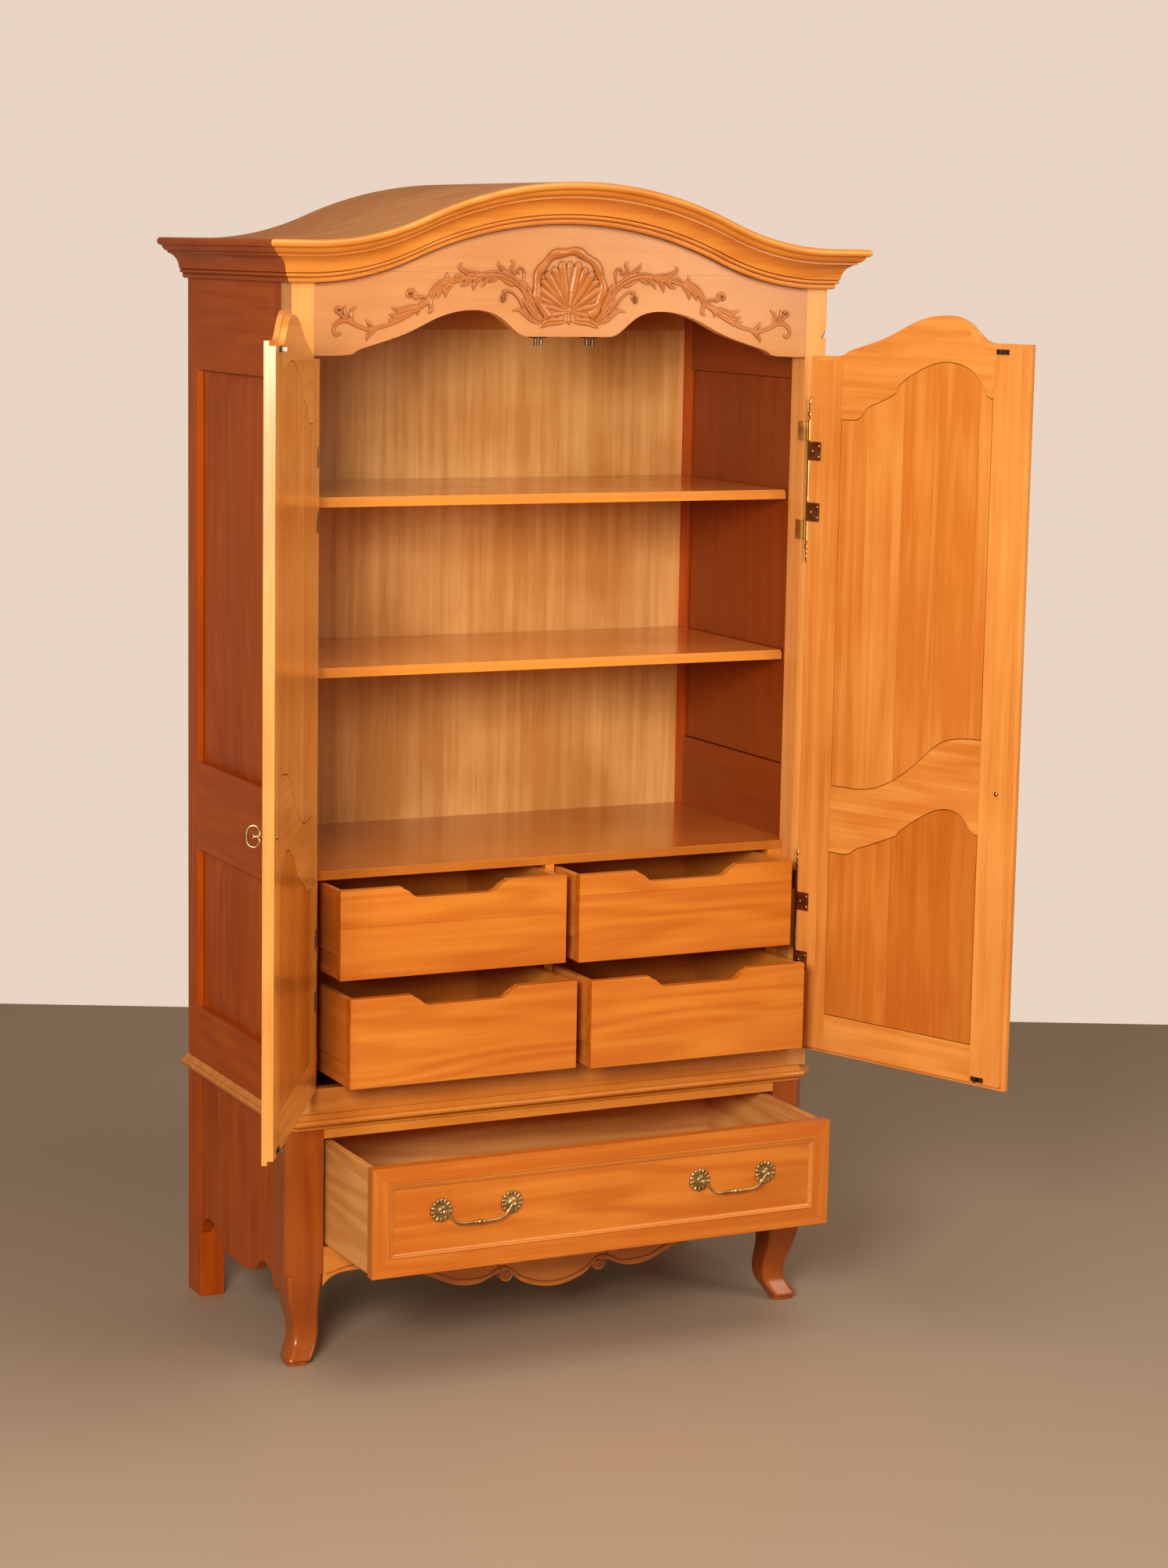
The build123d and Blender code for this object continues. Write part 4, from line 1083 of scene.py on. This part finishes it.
# ------------------------------------------------------------------- brasswork
@dataclass
class Brasswork:
    """The drop handles, the key-shaped pulls and the hinges' screws."""

    brass: bpy.types.Material
    centre_x: float = 262.0
    half_span: float = 69.5
    height: float = 337.0
    rod_out: float = 14.0
    petals: int = 14
    pull_x: float = 32.0
    pull_z: float = 1074.0
    door_outside: float = 9.5
    door_inside: float = 10.5
    bow_reach: float = 19.5
    leaf_face: float = 11.5
    hinge_heights: Point = (753.0, 1617.0)
    leaf_offset: float = 57.5
    screw_places: tuple[Point, ...] = ((470.0, 10.0), (470.0, -10.0), (485.0, 0.0))

    def rosette(self) -> bpy.types.Object:
        """Makes a fluted round plate with a domed boss, facing -Y.

        Returns:
            The plate.
        """
        petals: list[Stroke] = []
        for index in range(self.petals):
            angle = 2 * math.pi * (index + 0.5) / self.petals
            path = [(3.0, 1.4), (9.0, 2.7), (15.5, 4.3), (20.0, 4.6), (22.2, 2.2)]
            petals.append(tuple((r * math.cos(angle), r * math.sin(angle), half) for r, half in path))
        plate = draw_strokes("rosette", petals, 0.85)
        profile = [
            (19.5, -0.8), (19.5, 0.7), (9.0, 3.2), (6.2, 4.4),
            (4.6, 6.0), (4.6, 16.0), (5.0, 17.6), (2.8, 19.2),
        ]
        boss = turn_profile("boss", profile, 32)
        boss.rotation_euler = (math.radians(90), 0.0, 0.0)
        settle(boss)
        made = join("rosette", [plate, boss])
        fuse(made, 0.00055, 2)
        return made

    def bail_strokes(self) -> list[Stroke]:
        """Lays out a handle's rod with its turned beads.

        Returns:
            The strokes.
        """
        span = self.half_span
        half = [
            (span - 4.5, 0.0, 2.7), (span - 7, -2.5, 2.5), (span - 11, -9.0, 2.3), (span - 17, -16.5, 2.3),
            (span - 26, -22.5, 2.4), (span - 37, -24.6, 2.6), (22.0, -25.0, 2.9), (12.0, -25.0, 3.0),
            (10.5, -25.0, 2.7), (9.0, -25.0, 3.8), (7.4, -25.0, 2.6), (5.8, -25.0, 3.4), (4.6, -25.0, 2.8),
            (2.6, -25.0, 4.2),
        ]
        whole = tuple(half) + ((0.0, -25.0, 5.2),) + tuple((-x, z, w) for x, z, w in reversed(half))
        pivots = [((side * (span + 5.5), 0.0, 2.3), (side * (span - 4.5), 0.0, 2.3)) for side in (-1, 1)]
        balls = [((side * (span + 6.3), 0.0, 3.4), (side * (span + 8.3), 0.0, 2.6)) for side in (-1, 1)]
        return [whole, *pivots, *balls]

    def handles(self) -> None:
        """Makes two drop handles on the base drawer."""
        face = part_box("base_drawer_panel")[0].y
        rosette = self.rosette()
        plates = []
        for sign, side in SIDES:
            for end in (-1, 1):
                x = (sign * self.centre_x + end * self.half_span) * MM
                plates.append(copy_of(rosette, Matrix.Translation((x, face, self.height * MM))))
            bail = draw_strokes(f"{side}_bail", self.bail_strokes(), 1.0, 4)
            fuse(bail, 0.0006, 1)
            bail.location = (sign * self.centre_x * MM, face - self.rod_out * MM, self.height * MM)
            settle(bail)
            dress(bail, f"{side}_bail", self.brass)
            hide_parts(f"{side}_bail_handle")
        bpy.data.objects.remove(rosette)
        made = join("rosettes", plates)
        dress(made, "base_drawer", self.brass)
        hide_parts("handle_rosettes")

    def key_pulls(self) -> None:
        """Makes a pull like a key's bow on each door, with the nut that holds it inside."""
        upper = (
            (-0.4, 3.9, 1.7), (1.2, 0.7, 1.5), (5.4, -0.2, 1.5), (9.0, 3.1, 1.5), (10.2, 8.2, 1.6),
            (8.6, 12.7, 1.7), (4.7, 17.0, 1.9), (-0.5, 18.0, 2.1), (-5.5, 16.2, 2.4), (-9.2, 11.9, 2.6),
            (-10.8, 6.0, 2.7),
        )
        lower = tuple((x, -z, w) for x, z, w in reversed(upper))
        strand = ((8.6, 12.7, 1.1), (11.6, 8.6, 1.2), (12.0, 4.0, 1.5), (13.0, 0.0, 2.4))
        stub = ((8.0, 0.0, 1.5), (12.0, 0.0, 2.6), (17.5, 0.0, 3.6))
        other = tuple((x, -z, w) for x, z, w in strand)
        bow = draw_strokes("bow", [upper + ((-11.2, 0.0, 2.8),) + lower, strand, other, stub], 0.85)
        fuse(bow, 0.0005, 1)
        collar = [(9.0, 0.0), (9.0, 1.6), (6.0, 3.0), (4.0, 3.6)]
        stem = turn_profile("stem", collar + [(5.2, 5.0), (3.4, 6.4), (3.2, 8.0), (2.4, 9.4)])
        outside = FRONT_Y - self.door_outside * MM
        inside = FRONT_Y + self.door_inside * MM
        nut = turn_profile("nut", [(4.4, 0.0), (4.4, 1.2), (3.2, 2.4), (1.4, 3.0)])
        for sign, side in SIDES:
            swing = door_swing(sign)
            parts = []
            turns = (
                (bow, outside - self.bow_reach * MM, 90, "Z"),
                (stem, outside, 90, "X"),
                (nut, inside, -90, "X"),
            )
            for piece, y, angle, axis in turns:
                place = Matrix.Translation((sign * self.pull_x * MM, y, self.pull_z * MM))
                parts.append(copy_of(piece, swing @ place @ Matrix.Rotation(math.radians(angle), 4, axis)))
            made = join(f"{side}_key_bow", parts)
            dress(made, f"{side}_door", self.brass)
            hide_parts(f"{side}_door_key_pull")
        for spare in (bow, stem, nut):
            bpy.data.objects.remove(spare)

    def screws(self) -> None:
        """Makes three screws in every hinge leaf on the doors' inner faces."""
        screw = turn_profile("screw", [(3.0, -0.4), (3.0, 0.3), (2.2, 0.9), (0.9, 1.2)], 12)
        face = FRONT_Y + self.leaf_face * MM
        upright = Matrix.Rotation(math.radians(-90), 4, "X")
        for sign, side in SIDES:
            made = []
            for middle in self.hinge_heights:
                for leaf in (self.leaf_offset, -self.leaf_offset):
                    for x, z in self.screw_places:
                        place = Matrix.Translation((sign * x * MM, face, (middle + leaf + z) * MM))
                        made.append(copy_of(screw, door_swing(sign) @ place @ upright))
            dress(join(f"{side}_hinge_screws", made), f"{side}_door", self.brass)
        bpy.data.objects.remove(screw)

    def build(self) -> None:
        """Makes all the brass pieces."""
        self.handles()
        self.key_pulls()
        self.screws()


# ---------------------------------------------------------------- small joinery
@dataclass
class DrawerMoulding:
    """The small moulding mitred round the base drawer's panel."""

    wood: bpy.types.Material
    rise: float = 5.0
    steps: tuple[Point, ...] = ((1.8, 0.0), (1.0, -1.2), (2.4, -0.6), (2.4, -1.6), (1.2, -1.6))
    widest_ring: float = 0.05

    def build(self) -> None:
        """Makes the moulding as a ring sunk from the frame to the panel."""
        low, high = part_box("base_drawer_panel")
        only()
        bpy.ops.mesh.primitive_plane_add(size=1.0, location=(0.0, 0.0, 0.0))
        piece = bpy.context.object
        piece.name = piece.data.name = "drawer_moulding"
        piece.rotation_euler = (math.radians(90), 0.0, 0.0)
        piece.scale = (high.x - low.x, high.z - low.z, 1.0)
        piece.location = (0.0, low.y, (low.z + high.z) / 2)
        settle(piece)
        open_mesh(piece)
        bpy.ops.mesh.extrude_region_move(TRANSFORM_OT_translate={"value": (0.0, -self.rise * MM, 0.0)})
        for inset, rise in self.steps:
            bpy.ops.mesh.inset(thickness=inset * MM, depth=0.0)
            bpy.ops.transform.translate(value=(0.0, -rise * MM, 0.0))
        bpy.ops.object.mode_set(mode="OBJECT")
        for face in piece.data.polygons:
            face.select = abs(face.normal.y) > 0.99 and face.area > self.widest_ring
        bpy.ops.object.mode_set(mode="EDIT")
        bpy.ops.mesh.delete(type="FACE")
        close_mesh()
        apply_modifier(piece, "BEVEL", width=0.0006, segments=2, limit_method="ANGLE")
        bpy.ops.object.shade_smooth_by_angle(angle=math.radians(40))
        dress(piece, "base_drawer", self.wood)


# ------------------------------------------------------------------ the dresser
class CaseFinishes:
    """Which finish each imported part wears."""

    def panel(self, name: str, grain: Grain, **extra: object) -> WoodFinish:
        """Describes a door panel glued up from boards of uneven tone."""
        usual = {"board": 0.085, "tone": 0.5, "streak": 0.4, "figure": 0.2, "joint": 0.3}
        return WoodFinish(name, Stain.DOOR, grain, **{**usual, **extra})

    def shaded(self, name: str, grain: Grain, **extra: object) -> WoodFinish:
        """Describes the case's sides, darker and redder than its front: painted shade."""
        return WoodFinish(name, Stain.SIDE, grain, **{"coat": 0.05, "gloss": 0.3, **extra})

    def bare(self, name: str, grain: Grain, **extra: object) -> WoodFinish:
        """Describes pale wood inside a drawer, hardly stained."""
        return WoodFinish(name, Stain.BARE, grain, **{"rough": 0.5, "coat": 0.05, **extra})

    def doors(self) -> Finishes:
        """Describes the doors' finishes, turned with each door.

        Returns:
            A finish for each part of the doors.
        """
        table: Finishes = {}
        strips = {"board": 0.031, "tone": 0.4, "figure": 0.12, "joint": 0.12}
        whole = {"board": 0.5, "tone": 0.3, "streak": 0.4, "figure": 0.25, "knots": 0.3}
        for sign, side in SIDES:
            turned = {"swing": OPEN_ANGLE[sign], "hinge": sign * HINGE_X, "seed": 4.0 + sign}
            boards = {"shift": 0.065, **turned}
            upper = self.panel(f"{side}_upper_boards", Grain.UPRIGHT, **boards)
            # The lower panels copy the upper boards in a darker colour: painted shade.
            lower = replace(upper, name=f"{side}_lower_boards", stain=Stain.LOWER_PANEL_IN_SHADE)
            stiles = self.panel(f"{side}_stile_maple", Grain.UPRIGHT, **strips, **turned)
            table[f"{side}_door_stiles"] = stiles
            table[f"{side}_door_rails"] = self.panel(f"{side}_rail_maple", Grain.ACROSS, **whole, **turned)
            table[f"{side}_door_upper_panel"] = upper
            table[f"{side}_door_lower_panel"] = lower
        return table

    def front(self) -> Finishes:
        """Describes the finishes of the case's front and crown.

        Returns:
            A finish for each part.
        """
        # Each glaze value darkens recesses with brown glaze and painted shade.
        crown = WoodFinish("crown_maple", Stain.AMBER, Grain.ACROSS, streak=0.4, edge=0.0008, glaze=0.55)
        post = WoodFinish("post_maple", Stain.POST, Grain.UPRIGHT, seed=2.0, glaze=0.3)
        leg = WoodFinish("leg_maple", Stain.LEG_IN_SHADE, Grain.UPRIGHT, seed=3.0, edge=0.0025)
        rail = WoodFinish("rail_maple", Stain.AMBER, Grain.ACROSS, seed=6.0)
        frieze = WoodFinish(
            "frieze_maple", Stain.FRIEZE, Grain.ACROSS, board=1.0, figure=0.15, streak=0.3, tone=0.1,
            cloud=0.5, glaze=1.0, reach=0.01, seam=0.4968,
        )
        return {
            "crown_front": crown,
            "frieze": frieze,
            "upper_post_left": post,
            "upper_post_right": post,
            "front_leg_left": leg,
            "front_leg_right": leg,
            "back_top_rail": rail,
            "door_sill_rail": rail,
            "base_top_rail": rail,
            "front_apron": WoodFinish("apron_maple", Stain.AMBER, Grain.ACROSS, seed=11.0, edge=0.0025),
            "waist_moulding": replace(crown, name="waist_maple", glaze=0.5),
        }

    def case(self) -> Finishes:
        """Describes the finishes of the case's sides, back and inside.

        Returns:
            A finish for each part.
        """
        rails = Band(1, FRONT_Y + 82 * MM, FRONT_Y + 486 * MM, Grain.DEEP)
        back_post = self.shaded("back_post_maple", Grain.UPRIGHT)
        rough_sawn = self.bare("hidden_wood", Grain.ACROSS)
        shelf = WoodFinish(
            "shelf_maple", Stain.AMBER, Grain.ACROSS_FLAT, board=0.14, tone=0.12, figure=0.06, streak=0.2,
            rough=0.2, coat=0.6,
        )
        roof = WoodFinish(
            "roof_maple", Stain.AMBER, Grain.ACROSS_FLAT, board=0.16, tone=0.6, streak=0.5, dust=0.4,
            coat=0.0, rough=0.5,
        )
        # The side frames and panels carry painted shade on their faces inside the case.
        side_frame = self.shaded("side_frame_maple", Grain.UPRIGHT_ON_SIDE, band=rails, seed=8.0, lining=0.6)
        side_panel = self.shaded(
            "side_boards", Grain.UPRIGHT_ON_SIDE, board=0.1, shift=0.02, tone=0.4, lining=0.6
        )
        base_side = self.shaded("base_side_boards", Grain.UPRIGHT_ON_SIDE, board=0.11, tone=0.45, seed=9.0)
        plywood = WoodFinish(
            "back_plywood", Stain.INSIDE, Grain.UPRIGHT, board=3.0, shift=1.5, figure=0.08, streak=0.42,
            cloud=0.55, rings=9.0, rough=0.42, coat=0.1,
        )
        return {
            "crown_sides": self.shaded("crown_side_maple", Grain.DEEP, edge=0.0008, glaze=0.5),
            "roof_panel": roof,
            "side_frames": side_frame,
            "side_panels": side_panel,
            "base_sides": base_side,
            "back_post_left": back_post,
            "back_post_right": back_post,
            "back_panel": plywood,
            "upper_shelf": shelf,
            "lower_shelf": shelf,
            # The deck copies the shelves in a darker colour: painted shade.
            "drawer_deck": replace(shelf, name="deck_maple", stain=Stain.DECK_IN_SHADE),
            "drawer_partitions": WoodFinish("partition_maple", Stain.AMBER, Grain.UPRIGHT_ON_SIDE, seed=5.0),
            "case_bottom": rough_sawn,
            "base_back_board": rough_sawn,
            "drawer_runners": self.bare("runner_wood", Grain.DEEP),
        }

    def drawers(self) -> Finishes:
        """Describes the drawers' finishes.

        Returns:
            A finish for each part of the drawers.
        """
        table: Finishes = {}
        for number, name in enumerate(("upper_left", "upper_right", "lower_left", "lower_right"), 1):
            table[f"{name}_drawer_front"] = WoodFinish(
                f"{name}_front_maple", Stain.DRAWER, Grain.ACROSS, seed=float(number), shift=0.37 * number,
                figure=0.4, knots=0.32,
            )
            low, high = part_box(f"{name}_drawer_box")
            inside = Band(0, low.x + 12.5 * MM, high.x - 12.5 * MM, Grain.ACROSS_FLAT)
            table[f"{name}_drawer_box"] = WoodFinish(
                f"{name}_side_maple", Stain.AMBER, Grain.DEEP, seed=float(number), band=inside
            )
        low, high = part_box("base_drawer_frame")
        # The frame's glaze lays brown glaze and painted shade in its recesses.
        table["base_drawer_frame"] = WoodFinish(
            "drawer_frame_maple", Stain.DRAWER, Grain.ACROSS, mitre=(high.x, low.z, high.z), seed=7.0,
            edge=0.0016, glaze=0.9, streak=0.6, tone=0.4,
        )
        table["base_drawer_panel"] = WoodFinish(
            "drawer_panel_maple", Stain.DRAWER, Grain.ACROSS, figure=0.45, seed=13.0, knots=0.4
        )
        low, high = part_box("base_drawer_box")
        inside = Band(0, low.x + 13.5 * MM, high.x - 13.5 * MM, Grain.ACROSS_FLAT)
        table["base_drawer_box"] = self.bare(
            "drawer_pine", Grain.DEEP, knots=0.12, band=inside, figure=0.45, tone=0.3
        )
        return table

    def build(self, brass: bpy.types.Material, steel: bpy.types.Material) -> None:
        """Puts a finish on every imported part.

        Args:
            brass: The hardware's brass.
            steel: The catches' metal.
        """
        built: dict[str, bpy.types.Material] = {}
        table = {**self.front(), **self.case(), **self.doors(), **self.drawers()}
        for name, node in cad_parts.items():
            if name in table:
                finish = table[name]
                if finish.name not in built:
                    built[finish.name] = finish.build()
                material = built[finish.name]
            elif name == "door_catches" or name.endswith("strikes"):
                material = steel
            else:
                material = brass
            node.data.materials.clear()
            node.data.materials.append(material)
            LOG.info("%s wears %s", name, material.name)


# ------------------------------------------------------------- room and camera
@dataclass(frozen=True)
class Lamp:
    """A square soft lamp aimed at the middle of the armoire."""

    name: str
    place: Place
    size: float
    power: float
    colour: Colour

    def build(self) -> None:
        """Hangs the lamp."""
        light = bpy.data.lights.new(self.name, "AREA")
        light.shape = "SQUARE"
        light.size = self.size
        light.energy = self.power
        light.color = self.colour
        lamp = bpy.data.objects.new(self.name, light)
        bpy.context.scene.collection.objects.link(lamp)
        lamp.location = self.place
        lamp.rotation_euler = (Vector(LAMP_TARGET) - Vector(self.place)).to_track_quat("-Z", "Y").to_euler()


@dataclass
class Studio:
    """A pale floor, soft lamps and the camera."""

    floor_colour: Colour = (0.42, 0.33, 0.255)
    floor_width: float = 16.0
    floor_length: float = 14.0
    wall_colour: Colour = (0.69, 0.57, 0.48)
    wall_edge: tuple[Point, Point] = ((-0.165, 2.85), (2.668, 1.45))
    room_colour: Colour = (0.95, 0.76, 0.55)
    room_light: float = 0.3
    lens: float = 77.59
    place: Place = (-2.7065, -5.8585, 2.0418)
    yaw: float = 26.23
    pitch: float = 8.98
    roll: float = 1.02
    lamps: tuple[Lamp, ...] = (
        Lamp("key", (-3.0, -4.3, 2.4), 1.3, 215.0, (1.0, 0.94, 0.85)),
        Lamp("fill", (3.2, -4.2, 3.0), 2.2, 60.0, (1.0, 0.93, 0.82)),
        Lamp("top", (0.2, -1.8, 4.0), 2.2, 40.0, (1.0, 0.95, 0.88)),
    )

    def floor(self) -> None:
        """Lays a plain matt floor that ends where the wall would stand."""
        only()
        bpy.ops.mesh.primitive_plane_add(size=1.0, location=(0.0, 0.0, 0.0))
        ground = bpy.context.object
        ground.name = "floor"
        (x0, y0), (x1, y1) = self.wall_edge
        along = math.atan2(y1 - y0, x1 - x0)
        middle = Vector(((x0 + x1) / 2, (y0 + y1) / 2, 0.0))
        toward = Vector((math.sin(along), -math.cos(along), 0.0))
        ground.scale = (self.floor_width, self.floor_length, 1.0)
        ground.rotation_euler = (0.0, 0.0, along)
        ground.location = middle + toward * (self.floor_length / 2)
        settle(ground)
        material, graph = new_material("pale_floor")
        mottled = graph.noise(graph.node("TexCoord").outputs["Object"], 1.3, 4.0)
        deeper = tuple(0.8 * c for c in self.floor_colour)
        colour = graph.tint(self.floor_colour, mottled, 0.25, deeper)
        graph.surface({"Base Color": colour, "Roughness": 0.55})
        ground.data.materials.append(material)

    def surroundings(self) -> None:
        """Lights the room softly, and shows the camera a plain wall."""
        world = bpy.data.worlds.new("room")
        bpy.context.scene.world = world
        world.use_nodes = True
        world.node_tree.nodes.clear()
        graph = Graph(world.node_tree)
        seen = graph.node("Background", {0: self.wall_colour, 1: 1.0}).outputs[0]
        lit = graph.node("Background", {0: self.room_colour, 1: self.room_light}).outputs[0]
        to_camera = graph.node("LightPath").outputs["Is Camera Ray"]
        mixed = graph.node("MixShader", {0: to_camera, 1: lit, 2: seen}).outputs[0]
        graph.feed(graph.node("OutputWorld").inputs[0], mixed)
        bpy.context.scene.view_settings.view_transform = "Standard"
        bpy.context.scene.view_settings.look = "Medium High Contrast"

    def camera(self) -> None:
        """Sets up the camera, a little above mid height and to the left of the front."""
        data = bpy.data.cameras.new("camera")
        data.lens = self.lens
        data.sensor_width = 36.0
        eye = bpy.data.objects.new("camera", data)
        bpy.context.scene.collection.objects.link(eye)
        turn = Matrix.Rotation(-math.radians(self.yaw), 4, "Z")
        tilt = Matrix.Rotation(math.radians(90 - self.pitch), 4, "X")
        level = Matrix.Rotation(math.radians(self.roll), 4, "Z")
        eye.matrix_world = Matrix.Translation(self.place) @ turn @ tilt @ level
        bpy.context.scene.camera = eye

    def build(self) -> None:
        """Sets the room up."""
        self.camera()
        self.floor()
        for lamp in self.lamps:
            lamp.build()
        self.surroundings()


def main() -> None:
    """Builds the room, the finishes, the carving and the hardware in order."""
    logging.basicConfig(level=logging.INFO, format="%(message)s")
    brass = MetalFinish("antique_brass", (0.62, 0.43, 0.2), (0.2, 0.13, 0.06)).build()
    steel = MetalFinish("plated_catch", (0.2, 0.16, 0.14), (0.06, 0.04, 0.035)).build()
    # The carving's and the moulding's glaze lays brown glaze and painted shade in their recesses.
    carved = WoodFinish(
        "carved_maple", Stain.CARVED, Grain.ACROSS, glaze=1.0, reach=0.0045, edge=0.0006, coat=0.3, cloud=0.4,
        figure=0.1,
    )
    moulded = WoodFinish("moulded_maple", Stain.MOULDED, Grain.ACROSS, glaze=1.0, reach=0.009, edge=0.0008)
    Studio().build()
    CaseFinishes().build(brass, steel)
    Carving(carved.build()).build()
    Brasswork(brass).build()
    DrawerMoulding(moulded.build()).build()


if __name__ == "__main__":
    main()
